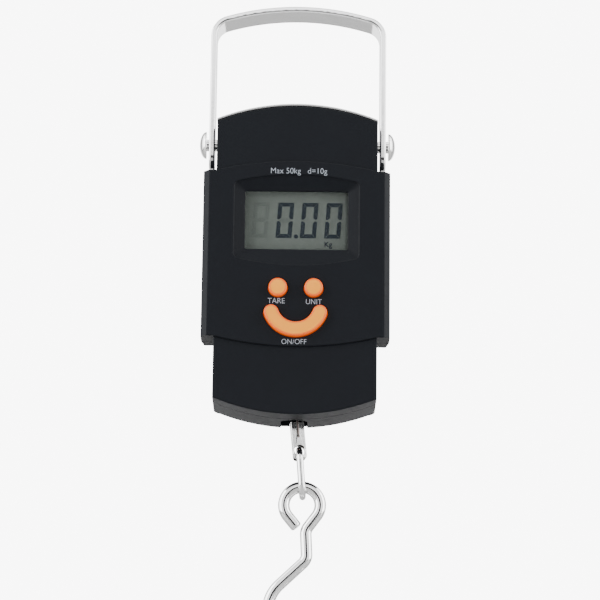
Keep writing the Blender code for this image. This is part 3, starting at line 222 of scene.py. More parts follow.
around = sides * heights * shadow * (SURROUND_SHINE - SURROUND_MATT_LOSS * scattered)
blend_of(seen, around, (SURROUND_SEEN,) * 3).feed(surround, "Color")
surround.inputs["Strength"].default_value = 1.0

SOFTBOXES = [
    # name, place, size, power
    ("left_softbox", (-0.75, -0.38, 0.10), (0.35, 0.90), 6.0),
    ("right_softbox", (0.80, -0.32, 0.05), (0.30, 0.90), 4.5),
    ("low_softbox", (0.0, -0.25, -0.75), (0.9, 0.5), 4.0),
]
AIM = Vector((0, 0, -0.10))
for name, lamp_place, size, power in SOFTBOXES:
    lamp = stood(name, bpy.data.lights.new(name, "AREA"))
    lamp.data.shape = "RECTANGLE"
    lamp.data.size, lamp.data.size_y = size
    lamp.data.energy = power
    lamp.location = lamp_place
    lamp.visible_glossy = name != "low_softbox"
    lamp.rotation_euler = (AIM - Vector(lamp_place)).to_track_quat("-Z", "Y").to_euler()

# --- Front cover --------------------------------------------------------------------------------------------
# The front half of the case: a moulding in fine-grained blue-black plastic, arched at both ends, with a wider
# belt that stands a little proud. A dished surround leads down to the display. Three holes hold the buttons.

front_low, front_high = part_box("front_cover")
rear_low, rear_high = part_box("rear_cover")
BELT_FACE = front_low.y
COLUMN_FACE = BELT_FACE + 0.0008
CASE_FOOT = front_low.z
CASE_CROWN = 0.0056
CASE_TOP = front_high.z - CASE_FOOT
COLUMN_HALF = 0.02795
BELT_HALF = front_high.x
BELT_FOOT, BELT_TOP, BELT_CROWN, BELT_FALL = 0.0268, 0.0860, 0.0034, 0.0003
BELT_CHAMFER = 0.0020
WALL = 0.0020
BEYOND = 0.003
FINE_GAP = 0.00015
SAME, MERGE = 0.00002, 0.000001


def arc(centre, radius, start, end, steps):
    """Points on a circle from one angle to another, in degrees."""
    turns = [radians(start + (end - start) * i / steps) for i in range(steps + 1)]
    return [(centre[0] + radius * cos(turn), centre[1] + radius * sin(turn)) for turn in turns]


def alike(first, second):
    """Whether two numbers are the same place, give or take the rounding in a mesh."""
    return abs(first - second) < SAME


def crown(half, side, middle, steps=48):
    """A shallow arc from +x to -x, given how high its ends and its middle are above the foot of the case."""
    rise = middle - side
    radius = (half**2 + rise**2) / (2 * rise)
    across = [half * (1 - 2 * i / steps) for i in range(steps + 1)]
    bulge = [abs(radius) - sqrt(radius**2 - x**2) for x in across]
    sign = 1 if rise > 0 else -1
    return [(x, CASE_FOOT + middle - sign * b) for x, b in zip(across, bulge)]


def only(piece):
    """Selects one object and nothing else."""
    bpy.ops.object.select_all(action="DESELECT")
    piece.select_set(True)
    bpy.context.view_layer.objects.active = piece


def welded(piece, flat=0.0):
    """Merges doubled points, melts edges that are flat to this angle, and turns the faces outwards."""
    only(piece)
    bpy.ops.object.mode_set(mode="EDIT")
    bpy.ops.mesh.select_all(action="SELECT")
    bpy.ops.mesh.remove_doubles(threshold=MERGE)
    if flat:
        bpy.ops.mesh.dissolve_limited(angle_limit=flat)
    bpy.ops.mesh.normals_make_consistent(inside=False)
    bpy.ops.object.mode_set(mode="OBJECT")
    return piece


def plate(name, outlines, near, far, plan=False):
    """A solid with these outlines, seen from the front between two depths, or in plan between two heights."""
    curve = bpy.data.curves.new(name, "CURVE")
    curve.dimensions = "2D"
    curve.fill_mode = "BOTH"
    curve.extrude = (far - near) / 2
    for outline in outlines:
        spline = curve.splines.new("POLY")
        spline.points.add(len(outline) - 1)
        for point, (x, z) in zip(spline.points, outline):
            point.co = (x, z, 0, 1)
        spline.use_cyclic_u = True
    piece = stood(name, curve)
    if plan:
        piece.location.z = (near + far) / 2
    else:
        piece.location.y = (near + far) / 2
        piece.rotation_euler.x = pi / 2
    only(piece)
    bpy.ops.object.convert(target="MESH")
    bpy.ops.object.transform_apply()
    return welded(piece, radians(0.2))


def soften(piece, radius, segments, wanted, profile=0.5):
    """Rounds the sharp edges for which wanted(one end, other end) is true."""
    only(piece)
    bpy.ops.object.mode_set(mode="EDIT")
    bpy.ops.mesh.select_mode(type="EDGE")
    bpy.ops.mesh.select_all(action="SELECT")
    bpy.ops.mesh.dissolve_limited(angle_limit=radians(0.05))
    bpy.ops.mesh.select_all(action="DESELECT")
    work = bmesh.from_edit_mesh(piece.data)
    for edge in work.edges:
        if edge.calc_face_angle(0) > radians(20):
            edge.select_set(bool(wanted(edge.verts[0].co, edge.verts[1].co)))
    bmesh.update_edit_mesh(piece.data)
    bpy.ops.mesh.bevel(offset=radius, segments=segments, profile=profile, affect="EDGES")
    bpy.ops.object.mode_set(mode="OBJECT")


def at_depth(depth):
    """Picks the edges that lie at one depth."""
    return lambda a, b: alike(a.y, depth) and alike(b.y, depth)


def across_end(height):
    """Picks the edges that run across, at one height."""
    return lambda a, b: alike(a.z, height) and alike(b.z, height) and alike(a.y, b.y)


def carve(piece, tool, operation="DIFFERENCE"):
    """Cuts a tool from a piece, or joins it on, and removes the tool. Both are split into triangles first."""
    for part in (piece, tool):
        only(part)
        bpy.ops.object.mode_set(mode="EDIT")
        bpy.ops.mesh.select_all(action="SELECT")
        bpy.ops.mesh.quads_convert_to_tris()
        bpy.ops.object.mode_set(mode="OBJECT")
    cut = piece.modifiers.new("carve", "BOOLEAN")
    cut.operation = operation
    cut.solver = "EXACT"
    cut.object = tool
    only(piece)
    bpy.ops.object.modifier_apply(modifier=cut.name)
    welded(piece)
    bpy.data.objects.remove(tool, do_unlink=True)


def block(name, low, high):
    """A box between two corners."""
    low, high = Vector(low), Vector(high)
    bpy.ops.object.select_all(action="DESELECT")
    bpy.ops.mesh.primitive_cube_add(size=1, location=(low + high) / 2, scale=high - low)
    piece = bpy.context.object
    piece.name = name
    bpy.ops.object.transform_apply()
    return piece


def turned(name, profile, place, rotation=(0, 0, 0), steps=64):
    """A body of revolution from (radius, height) pairs, stood at a place and turned to lie along any axis."""
    mesh = bpy.data.meshes.new(name)
    points = [(radius, 0, height) for radius, height in profile]
    mesh.from_pydata(points, [(i, i + 1) for i in range(len(points) - 1)], [])
    piece = stood(name, mesh)
    screw = piece.modifiers.new("turn", "SCREW")
    screw.steps = screw.render_steps = steps
    screw.use_merge_vertices = True
    screw.merge_threshold = MERGE
    only(piece)
    bpy.ops.object.modifier_apply(modifier=screw.name)
    piece.location = place
    piece.rotation_euler = rotation
    bpy.ops.object.transform_apply()
    return welded(piece)


def rod(radius, start, end):
    """The profile of a plain round bar, to be turned."""
    return [(0, start), (radius, start), (radius, end), (0, end)]


def lofted(name, rings):
    """A closed body through (outline, depth) rings whose points match one to one."""
    points = [(x, depth, z) for outline, depth in rings for x, z in outline]
    count = len(rings[0][0])
    faces = [tuple(range(count)), tuple(range(len(points) - count, len(points)))]
    for ring in range(len(rings) - 1):
        for i in range(count):
            j = (i + 1) % count
            near, far = ring * count, (ring + 1) * count
            faces.append((near + i, near + j, far + j, far + i))
    mesh = bpy.data.meshes.new(name)
    mesh.from_pydata(points, [], faces)
    piece = stood(name, mesh)
    only(piece)
    bpy.ops.object.mode_set(mode="EDIT")
    bpy.ops.mesh.select_all(action="SELECT")
    bpy.ops.mesh.normals_make_consistent(inside=False)
    bpy.ops.object.mode_set(mode="OBJECT")
    return piece


def fit(piece, name, body, slot, material, *nodes, angle=32):
    """Names, shades and paints a finished piece, and puts it in the place of its CAD nodes."""
    piece.name = name
    piece.data.materials.clear()
    piece.data.materials.append(material)
    only(piece)
    bpy.ops.object.shade_smooth_by_angle(angle=radians(angle))
    normals = piece.modifiers.new("flat faces stay flat", "WEIGHTED_NORMAL")
    normals.keep_sharp = True
    bpy.ops.object.modifier_apply(modifier=normals.name)
    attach(piece, body)
    if nodes:
        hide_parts(*nodes)


def bend(before, corner, after, radius, steps=6):
    """A corner between two points rounded to a radius."""
    corner = Vector(corner)
    toward = (Vector(before) - corner).normalized()
    onward = (Vector(after) - corner).normalized()
    half = toward.angle(onward) / 2
    middle = corner + (toward + onward).normalized() * (radius / sin(half))
    start = corner + toward * (toward.dot(middle - corner))
    end = corner + onward * (onward.dot(middle - corner))
    first = degrees(atan2(start.y - middle.y, start.x - middle.x))
    last = degrees(atan2(end.y - middle.y, end.x - middle.x))
    sweep = (last - first + 180) % 360 - 180
    return arc(middle, radius, first, first + sweep, steps)


def section(half_corners):
    """A symmetrical outline in plan from the (x, depth, radius) corners of its right half, front to back."""
    corners = half_corners + [(-x, depth, radius) for x, depth, radius in reversed(half_corners)]
    points = []
    for i, (x, depth, radius) in enumerate(corners):
        before, after = corners[i - 1], corners[(i + 1) % len(corners)]
        points += bend(before[:2], (x, depth), after[:2], radius)
    return points


def column_outline(inset=0.0, side=0.0):
    """The column seen from the front, drawn in by some amount, or let run on past its sides."""
    half = COLUMN_HALF - inset
    top = crown(half, CASE_TOP - CASE_CROWN - inset, CASE_TOP - inset)
    bottom = crown(half, CASE_CROWN + inset, inset)
    low, high = CASE_FOOT + CASE_CROWN, CASE_FOOT + CASE_TOP - CASE_CROWN
    left = [(-half - side, high), (-half - side, low)] if side else []
    return top + left + bottom[::-1] + [(-x, z) for x, z in reversed(left)]


def belt_outline():
    """The belt seen from the front. It runs on past its sides, which the section trims."""
    top = crown(COLUMN_HALF, BELT_TOP, BELT_TOP + BELT_CROWN)
    bottom = crown(COLUMN_HALF, BELT_FOOT, BELT_FOOT - BELT_CROWN)
    high, low = CASE_FOOT + BELT_TOP - BELT_FALL, CASE_FOOT + BELT_FOOT + BELT_FALL
    side = BELT_HALF + BEYOND
    return top + [(-side, high), (-side, low)] + bottom[::-1] + [(side, low), (side, high)]


COLUMN_SECTION = section([(COLUMN_HALF, COLUMN_FACE, 0.0005), (COLUMN_HALF, rear_high.y, 0.0016)])
BELT_REAR, BELT_TAPER = COLUMN_FACE + 0.0149, 0.0009
BELT_SECTION = section(
    [
        (BELT_HALF - BELT_CHAMFER, BELT_FACE, 0.0008),
        (BELT_HALF, BELT_FACE + BELT_CHAMFER, 0.0008),
        (BELT_HALF, front_high.y + FINE_GAP, 0.0020),
        (BELT_HALF - BELT_TAPER, BELT_REAR, 0.0008),
    ]
)


def case_half(name, near, far):
    """One half of the case between two depths: the column and the belt, each trimmed to its section."""
    low, high = CASE_FOOT - BEYOND, CASE_FOOT + CASE_TOP + BEYOND
    ahead, behind = BELT_FACE - BEYOND, rear_high.y + BEYOND
    half = plate(name, [column_outline(side=BEYOND)], ahead, behind)
    carve(half, plate("column_section", [COLUMN_SECTION], low, high, plan=True), "INTERSECT")
    soften(half, 0.0005, 4, at_depth(COLUMN_FACE))
    soften(half, 0.0010, 4, at_depth(rear_high.y))
    belt = plate("belt", [belt_outline()], ahead, behind)
    carve(belt, plate("belt_section", [BELT_SECTION], low, high, plan=True), "INTERSECT")
    soften(belt, 0.00035, 3, at_depth(BELT_FACE))
    soften(belt, 0.0008, 4, at_depth(BELT_REAR))
    carve(half, belt, "UNION")
    carve(half, block("depths", (-0.05, near, low - BEYOND), (0.05, far, high + BEYOND)), "INTERSECT")
    return half


def along_depth(a, b):
    """Picks the edges that run straight back at the corners of the outline."""
    return alike(a.x, b.x) and alike(a.z, b.z)


def round_corners(piece, radius, beyond):
    """Rounds the corners seen from the front that lie further out than this."""
    soften(piece, radius, 5, lambda a, b: along_depth(a, b) and abs(a.x) > beyond)


def surround_loop(half, side_top, mid_top, side_foot, mid_foot, corner):
    """The outline of the display's surround, with a fixed number of points so that loops match."""
    loop = []
    for side, middle, sign in ((side_top, mid_top, 1), (side_foot, mid_foot, -1)):
        rise = abs(middle - side)
        slope = atan(2 * rise / half)
        reach = half - corner + corner * sin(slope)
        edge = [reach * (1 - 2 * i / 24) for i in range(25)]
        heights = [side + sign * rise * (1 - (x / half) ** 2) for x in edge]
        centre = (half - corner, heights[0] - sign * corner * cos(slope))
        turn = degrees(pi / 2 - slope)
        right = arc(centre, corner, 0, sign * turn, 6)[:-1]
        left = [(-x, z) for x, z in reversed(right)]
        run = right + list(zip(edge, heights)) + left
        loop += run if sign == 1 else [(x, z) for x, z in reversed(run)]
    return [(x, CASE_FOOT + z) for x, z in loop]


SURROUND_HALF, SURROUND_TOP, SURROUND_FOOT, SURROUND_CROWN = 0.0216, 0.0818, 0.0548, 0.0027
WINDOW_HALF, WINDOW_TOP, WINDOW_FOOT = 0.0178, 0.0790, 0.0581


def surround_at(grow):
    """The edge of the surround, let out all round by some amount."""
    top, foot = SURROUND_TOP + grow, SURROUND_FOOT - grow
    return surround_loop(
        SURROUND_HALF + grow, top, top + SURROUND_CROWN, foot, foot - SURROUND_CROWN, 0.0020 + grow
    )


def window_at(grow):
    """The display's opening, let out all round by some amount."""
    top, foot = WINDOW_TOP + grow, WINDOW_FOOT - grow
    return surround_loop(WINDOW_HALF + grow, top, top + 0.00001, foot, foot - 0.00001, 0.0005 + grow)


SMILE_CENTRE, SMILE_RADIUS, SMILE_WIDTH, SMILE_SWEEP = 0.03806, 0.0088, 0.0051, 71
DOT_RADIUS, DOT_HEIGHT, DOT_ACROSS = 0.0032, 0.04395, 0.00613
HOLE_GAP = 0.00025


def smile_outline(grow=0.0):
    """The curved button seen from the front, a bent band with round ends."""
    centre = (0, CASE_FOOT + SMILE_CENTRE)
    half = SMILE_WIDTH / 2 + grow
    start, end = 270 - SMILE_SWEEP, 270 + SMILE_SWEEP
    left, right = arc(centre, SMILE_RADIUS, start, end, 1)
    outer = arc(centre, SMILE_RADIUS + half, start, end, 40)
    inner = arc(centre, SMILE_RADIUS - half, end, start, 40)
    right_end = arc(right, half, end, end + 180, 14)[1:-1]
    left_end = arc(left, half, start + 180, start + 360, 14)[1:-1]
    return outer + right_end + inner + left_end


front_cover = case_half("front_cover", BELT_FACE - BEYOND, front_high.y)
hollow = plate("hollow", [column_outline(WALL)], COLUMN_FACE + WALL - 0.00015, front_high.y + BEYOND)
carve(front_cover, hollow)
belt_hollow = block(
    "belt_hollow",
    (-BELT_HALF + WALL, COLUMN_FACE + WALL + 0.0002, CASE_FOOT + BELT_FOOT + WALL),
    (BELT_HALF - WALL, front_high.y + BEYOND, CASE_FOOT + BELT_TOP - WALL),
)
carve(front_cover, belt_hollow)
pocket = lofted(
    "pocket",
    [
        (surround_at(0.0008), BELT_FACE - 0.0006),
        (surround_at(0.0002), BELT_FACE - 0.00002),
        (surround_at(0.0), BELT_FACE + 0.00015),
        (surround_at(-0.00005), BELT_FACE + 0.00045),
        (surround_at(-0.0003), BELT_FACE + 0.00062),
        (window_at(0.0003), BELT_FACE + 0.00178),
        (window_at(0.0), BELT_FACE + 0.0020),
        (window_at(0.0), COLUMN_FACE + WALL + BEYOND),
    ],
)
carve(front_cover, pocket)
for side in (-1, 1):
    hole = DOT_RADIUS + HOLE_GAP
    rim = [(0, 0.004), (hole + 0.0008, 0.0006), (hole + 0.0001, -0.00005), (hole, -0.00015)]
    rim += [(hole, -0.006), (0, -0.006)]
    middle = (side * DOT_ACROSS, BELT_FACE, CASE_FOOT + DOT_HEIGHT)
    carve(front_cover, turned("button_hole", rim, middle, (pi / 2, 0, 0)))
smile_hole = lofted(
    "smile_hole",
    [
        (smile_outline(HOLE_GAP + 0.0008), BELT_FACE - 0.0006),
        (smile_outline(HOLE_GAP + 0.0001), BELT_FACE + 0.00005),
        (smile_outline(HOLE_GAP), BELT_FACE + 0.00015),
        (smile_outline(HOLE_GAP), COLUMN_FACE + WALL + BEYOND),
    ],
)
carve(front_cover, smile_hole)

case_plastic, shader, place = finish_of("moulded case plastic", Roughness=0.5, Specular_IOR_Level=0.12)
grain = speckle(place, 0.00022, 3.0)
cloud = speckle(place, 0.014)
flow = streaks(place, 260.0, 4.0, 1.5)
tone = grain * 0.35 + cloud * 0.45 + flow * 0.2
blend_of(tone, (0.0034, 0.0042, 0.0062), (0.0080, 0.0096, 0.0128)).feed(shader, "Base Color")
(0.40 + grain * 0.16 + flow * 0.10).feed(shader, "Roughness")
roughened(shader, place, grain * 0.8 + flow * 0.2, 0.00006, 0.35)
fit(front_cover, "front_shell", "case", "case_plastic", case_plastic, "front_cover")

# --- Rear cover ---------------------------------------------------------------------------------------------
# The rear half, moulded in the same plastic, with rounded back edges. It carries the battery tray, the seat
# of its door, four deep screw holes, the slot for the stem, and side recesses in which the yoke's legs lie.

CASE_DEPTH = rear_high.y - COLUMN_FACE
SPLIT = rear_low.y
PIVOT_DEPTH, PIVOT_HEIGHT = 0.0140, 0.0993
TRAY_HALF, TRAY_FOOT, TRAY_HEAD, TRAY_WALL, TRAY_FLOOR = 0.0244, 0.0621, 0.0839, 0.0010, 0.0108
DOOR_HALF, DOOR_THICKNESS, DOOR_GAP = 0.0252, 0.0019, 0.0003
SLOT_HALF, SLOT_CENTRE, SLOT_NOTCH = 0.0046, 0.0148, 0.0008
SCREWS = [(side * 0.0205, height) for height in (0.0130, 0.0905) for side in (-1, 1)]
POST_RADIUS, WELL_RADIUS, WELL_DEPTH, BORE_RADIUS, BORE_END = 0.0030, 0.0027, 0.0046, 0.00145, 0.002
YOKE_THICKNESS, YOKE_LEG_HALF, YOKE_LEG_LENGTH = 0.0010, 0.0050, 0.0110
PIVOT_RADIUS, PIVOT_INNER, PIVOT_LENGTH = 0.00165, 0.006, 0.010


def spot(x, depth, height):
    """A point of the case from its place across, behind the column's face and above the foot."""
    return Vector((x, COLUMN_FACE + depth, CASE_FOOT + height))


def case_block(name, low, high):
    """A box between two such places."""
    return block(name, spot(*low), spot(*high))


def side_block(name, side, across, depths, heights):
    """A box on one side of the case, from an inner and an outer distance and pairs of depths and heights."""
    low_x, high_x = sorted(side * x for x in across)
    return case_block(name, (low_x, depths[0], heights[0]), (high_x, depths[1], heights[1]))


def bore_pivot(piece, side):
    """Drills the hole for one handle rivet."""
    place = spot(side * (COLUMN_HALF - PIVOT_INNER), PIVOT_DEPTH, PIVOT_HEIGHT)
    hole = turned("pivot_hole", rod(PIVOT_RADIUS, 0, PIVOT_LENGTH), place, (0, side * pi / 2, 0), 48)
    carve(piece, hole)


rear_cover = case_half("rear_cover", SPLIT, rear_high.y + BEYOND)
rear_hollow = plate("rear_hollow", [column_outline(WALL)], SPLIT - BEYOND, rear_high.y - WALL)
carve(rear_cover, rear_hollow)
belt_room = case_block(
    "belt_room",
    (-BELT_HALF + WALL, -BEYOND, BELT_FOOT + WALL),
    (BELT_HALF - WALL, BELT_REAR - COLUMN_FACE - WALL, BELT_TOP - WALL),
)
carve(rear_cover, belt_room)
for x, height in SCREWS:
    post = rod(POST_RADIUS, CASE_DEPTH - 0.001, SPLIT - COLUMN_FACE)
    carve(rear_cover, turned("screw_post", post, spot(x, 0, height), (-pi / 2, 0, 0), 48), "UNION")
tray = case_block(
    "tray",
    (-COLUMN_HALF + WALL / 2, TRAY_FLOOR, TRAY_FOOT - TRAY_WALL),
    (COLUMN_HALF - WALL / 2, CASE_DEPTH - 0.0010, TRAY_HEAD + TRAY_WALL),
)
carve(rear_cover, tray, "UNION")
tray_room = case_block(
    "tray_room", (-TRAY_HALF, TRAY_FLOOR + 0.0006, TRAY_FOOT), (TRAY_HALF, CASE_DEPTH + BEYOND, TRAY_HEAD)
)
carve(rear_cover, tray_room)
seat = case_block(
    "seat",
    (-DOOR_HALF - DOOR_GAP, CASE_DEPTH - DOOR_THICKNESS - FINE_GAP, TRAY_FOOT - DOOR_GAP),
    (DOOR_HALF + DOOR_GAP, CASE_DEPTH + BEYOND, TRAY_HEAD + DOOR_GAP),
)
round_corners(seat, 0.0013, 0)
carve(rear_cover, seat)
for x, height in SCREWS:
    bore = [
        (0, CASE_DEPTH + 0.004),
        (WELL_RADIUS + 0.0044, CASE_DEPTH + 0.004),
        (WELL_RADIUS, CASE_DEPTH - 0.0004),
        (WELL_RADIUS, CASE_DEPTH - WELL_DEPTH),
        (BORE_RADIUS, CASE_DEPTH - WELL_DEPTH),
        (BORE_RADIUS, BORE_END),
        (0, BORE_END),
    ]
    carve(rear_cover, turned("screw_hole", bore, spot(x, 0, height), (-pi / 2, 0, 0), 48))
slot = case_block(
    "slot",
    (-SLOT_HALF, SLOT_CENTRE - SLOT_HALF, -BEYOND),
    (SLOT_HALF, CASE_DEPTH - WALL + 0.0003, WALL * 1.5),
)
slot_middle = COLUMN_FACE + SLOT_CENTRE
soften(slot, 0.0045, 12, lambda a, b: alike(a.y, b.y) and alike(a.x, b.x) and a.y < slot_middle)
carve(rear_cover, slot)
notch = case_block(
    "notch", (-SLOT_HALF, CASE_DEPTH - WALL - BEYOND, -BEYOND), (SLOT_HALF, CASE_DEPTH + BEYOND, SLOT_NOTCH)
)
carve(rear_cover, notch)
leg_foot = CASE_TOP - CASE_CROWN - YOKE_LEG_LENGTH
for side in (-1, 1):
    recess = side_block(
        "recess",
        side,
        (COLUMN_HALF - YOKE_THICKNESS - FINE_GAP, COLUMN_HALF + BEYOND),
        (PIVOT_DEPTH - YOKE_LEG_HALF - FINE_GAP, PIVOT_DEPTH + YOKE_LEG_HALF + FINE_GAP),
        (leg_foot - FINE_GAP, CASE_TOP + BEYOND),
    )
    carve(rear_cover, recess)
    bore_pivot(rear_cover, side)
fit(rear_cover, "rear_shell", "case", "case_plastic", case_plastic, "rear_cover")

# --- Battery door -------------------------------------------------------------------------------------------
# A flat cover over the battery tray, pressed in flush with the back, with four grooves for the thumb.

GRIP_HALF, GRIP_FOOT = 0.0080, 0.0020
GROOVE_COUNT, GROOVE_PITCH, GROOVE_WIDTH, GROOVE_DEPTH = 4, 0.0018, 0.0009, 0.0005

door_low, door_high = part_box("battery_door")
door = block("battery_door", door_low, door_high)
round_corners(door, 0.0010, 0)
for i in range(GROOVE_COUNT):
    foot = door_low.z + GRIP_FOOT + GROOVE_PITCH * i
    groove = block(
        "groove",
        (-GRIP_HALF, door_high.y - GROOVE_DEPTH, foot),
        (GRIP_HALF, door_high.y + BEYOND, foot + GROOVE_WIDTH),
    )
    round_corners(groove, 0.0004, 0)
    carve(door, groove)
soften(door, 0.00018, 3, at_depth(door_high.y))

door_plastic, shader, place = finish_of("door plastic", Roughness=0.5, Specular_IOR_Level=0.11)
grain = speckle(place, 0.0003, 3.0)
cloud = speckle(place, 0.011)
rub = streaks(place, 700.0, 3.0, 0.8)
tone = grain * 0.4 + cloud * 0.6
blend_of(tone, (0.0066, 0.0078, 0.0102), (0.0150, 0.0168, 0.0210)).feed(shader, "Base Color")
(0.38 + grain * 0.18 + rub * 0.12).feed(shader, "Roughness")
roughened(shader, place, grain, 0.00007, 0.4)
fit(door, "battery_lid", "battery_door", "case_plastic", door_plastic, "battery_door")

# --- Case screws --------------------------------------------------------------------------------------------
# Four self-cutting steel screws, deep in the rear cover, with pressed cross recesses in their pan heads.

screw_steel, shader, place = finish_of("zinc-plated steel", Metallic=1.0)
pits = speckle(place, 0.0004, 4.0)
haze = speckle(place, 0.0025)
blend_of(haze, (0.42, 0.42, 0.43), (0.62, 0.62, 0.61)).feed(shader, "Base Color")
(0.28 + pits * 0.22 + haze * 0.08).feed(shader, "Roughness")
roughened(shader, place, pits, 0.00002, 0.35)

HEAD_RADIUS, THREAD_CREST, THREAD_ROOT, THREAD_PITCH = 0.00238, 0.00128, 0.00100, 0.00045
CROSS_HALF, CROSS_SLIT = 0.0013, 0.00026
CORNERS = ("lower_left", "lower_right", "upper_left", "upper_right")
for corner, (x, height) in zip(CORNERS, SCREWS):
    node = f"case_screw_{corner}"
    screw_low, screw_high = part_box(node)
    reach = screw_high.y - screw_low.y
    profile = [
        (0, 0.00172), (0.0011, 0.00168), (0.0017, 0.00146), (0.00225, 0.00100), (HEAD_RADIUS, 0.00072),
        (HEAD_RADIUS, 0.00010), (0.00230, 0), (0.00125, 0),
    ]
    for turn in range(int((reach - 0.0042) / THREAD_PITCH)):
        crest = -0.0008 - THREAD_PITCH * turn
        profile += [(THREAD_CREST, crest), (THREAD_ROOT, crest - 0.00022)]
    profile += [(THREAD_ROOT, -(reach - 0.0030)), (0, -(reach - 0.0019))]
    head = spot(x, CASE_DEPTH - WELL_DEPTH + FINE_GAP, height)
    fastener = turned(node, profile, head, (-pi / 2, 0, 0), 48)
    for across, along in ((CROSS_HALF, CROSS_SLIT), (CROSS_SLIT, CROSS_HALF)):
        low = head + Vector((-across, 0.0010, -along))
        high = head + Vector((across, 0.0030, along))
        carve(fastener, block("cross", low, high))
    fit(fastener, f"{node}_cross_head", "case", "steel", screw_steel, node)

# --- Chrome -------------------------------------------------------------------------------------------------
# Bright nickel and chrome plating on the yoke, the handle, the rivets, the link and the hook. It is faintly
# wavy and lightly worn.


def chrome_finish(name, warmth=0.0, wave=0.00012, grey=0.80):
    """Polished plating with shallow waves, fine haze and a few worn specks."""
    material, shader, place = finish_of(name, Metallic=1.0)
    haze = speckle(place, 0.006)
    specks = speckle(place, 0.0007, 5.0)
    tint = blend_of(haze, (grey, grey, grey * (1 - warmth)), (grey * 1.12, grey * 1.12, grey * 1.13))
    wear = [(0.0, 0.0), (0.66, 0.0), (0.78, 1.0)]
    worn = specks.node("ShaderNodeValToRGB", {"stops": wear}, {"Fac": specks})
    blend_of(worn * 0.35, tint, (0.52, 0.50, 0.47)).feed(shader, "Base Color")
    (0.05 + haze * 0.07 + worn * 0.16).feed(shader, "Roughness")
    roughened(shader, place, haze * 0.8 + specks * 0.2, wave, 0.25)
    return material


yoke_chrome = chrome_finish("plated strip", grey=0.62)
handle_chrome = chrome_finish("plated handle")
wire_chrome = chrome_finish("plated wire", warmth=0.02)
rivet_chrome = chrome_finish("polished rivet", warmth=0.03, wave=0.00005)

# --- Yoke ---------------------------------------------------------------------------------------------------
# A thin plated strip bent over the arched top of the case. Its legs lie in the sides and take the two rivets.

yoke_low, yoke_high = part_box("top_yoke")
side_top = CASE_TOP - CASE_CROWN
yoke_outer = crown(yoke_high.x, side_top + YOKE_THICKNESS, CASE_TOP + YOKE_THICKNESS)
yoke_inner = crown(yoke_high.x, side_top + FINE_GAP, CASE_TOP + FINE_GAP)
yoke = plate("top_yoke", [yoke_outer + yoke_inner[::-1]], yoke_low.y, yoke_high.y)
soften(yoke, 0.00030, 3, lambda a, b: at_depth(yoke_low.y)(a, b) or at_depth(yoke_high.y)(a, b))
for side in (-1, 1):
    leg = side_block(
        "leg",
        side,
        (COLUMN_HALF - YOKE_THICKNESS, COLUMN_HALF),
        (PIVOT_DEPTH - YOKE_LEG_HALF, PIVOT_DEPTH + YOKE_LEG_HALF),
        (leg_foot, side_top + YOKE_THICKNESS * 0.7),
    )
    soften(leg, 0.0022, 6, across_end(CASE_FOOT + leg_foot))
    carve(yoke, leg, "UNION")
    bore_pivot(yoke, side)
fit(yoke, "crown_strip", "case", "chrome", yoke_chrome, "top_yoke")

# --- Handle -------------------------------------------------------------------------------------------------
# A plated steel strap bent into a bail, with rolled edges and round ends that hang on the two rivets.

strap_low, strap_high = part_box("handle_strap")
STRAP_THICKNESS = 0.0021
STRAP_CORNER = 0.0075
STRAP_ARCH = 0.0870
STRAP_TAIL_RADIUS = 0.0042
RIVET_HOLE = 0.00235
pivot_z = pivots["case_hinge"].z


def strap_edge(inset):
    """One edge of the handle seen from the front: an arched top that runs into round shoulders and legs."""
    half, arch, shoulder = strap_high.x - inset, STRAP_ARCH - inset, STRAP_CORNER - inset
    arch_centre = strap_high.z - STRAP_ARCH
    across = half - shoulder
    rise = sqrt((arch - shoulder) ** 2 - across**2)
    turn = degrees(atan2(rise, across))
    right = [(half, strap_low.z)] + arc((across, arch_centre + rise), shoulder, 0, turn, 18)
    top = arc((0, arch_centre), arch, turn, 180 - turn, 56)
    return right + top[1:-1] + [(-x, z) for x, z in reversed(right)]


strap = plate("handle_strap", [strap_edge(0) + strap_edge(STRAP_THICKNESS)[::-1]], strap_low.y, strap_high.y)
soften(strap, STRAP_TAIL_RADIUS, 12, across_end(strap_low.z))
soften(strap, 0.00062, 4, lambda a, b: True)
for side in (-1, 1):
    bore = rod(RIVET_HOLE, 0, 0.012)
    carve(strap, turned("rivet_hole", bore, (side * 0.024, 0, pivot_z), (0, side * pi / 2, 0), 48))
fit(strap, "bail_strap", "handle", "chrome", handle_chrome, "handle_strap")

# --- Handle rivets ------------------------------------------------------------------------------------------
# Two domed rivets, one on each side. Each passes through the strap, the yoke's leg and the wall of the case.

DOME_RADIUS, DOME_RISE = 0.0048, 0.0024
COLLAR_RADIUS, SHANK_RADIUS, TAIL_RADIUS = 0.00205, 0.0015, 0.0026
for label, side in (("left", -1), ("right", 1)):
    node = f"handle_rivet_{label}"
    rivet_low, rivet_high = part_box(node)
    head = max(abs(rivet_low.x), abs(rivet_high.x)) - DOME_RISE
    turns = [radians(turn) for turn in range(0, 85, 6)]
    profile = [(DOME_RADIUS * sin(turn), head + DOME_RISE * cos(turn)) for turn in turns]
    collar = COLUMN_HALF + FINE_GAP
    profile += [(DOME_RADIUS, head + 0.00015), (0.00470, head)]
    profile += [(COLLAR_RADIUS, head), (COLLAR_RADIUS, collar)]
    tail = min(abs(rivet_low.x), abs(rivet_high.x)) + 0.0010
    profile += [(SHANK_RADIUS, collar), (SHANK_RADIUS, tail)]
    profile += [(TAIL_RADIUS, tail), (0.0023, tail - 0.0008), (0, tail - 0.0010)]
    place_of_rivet = (0, pivots["case_hinge"].y, pivot_z)
    rivet = turned(node, profile, place_of_rivet, (0, side * pi / 2, 0), 64)
    fit(rivet, f"domed_rivet_{label}", "case", "chrome", rivet_chrome, node, angle=40)

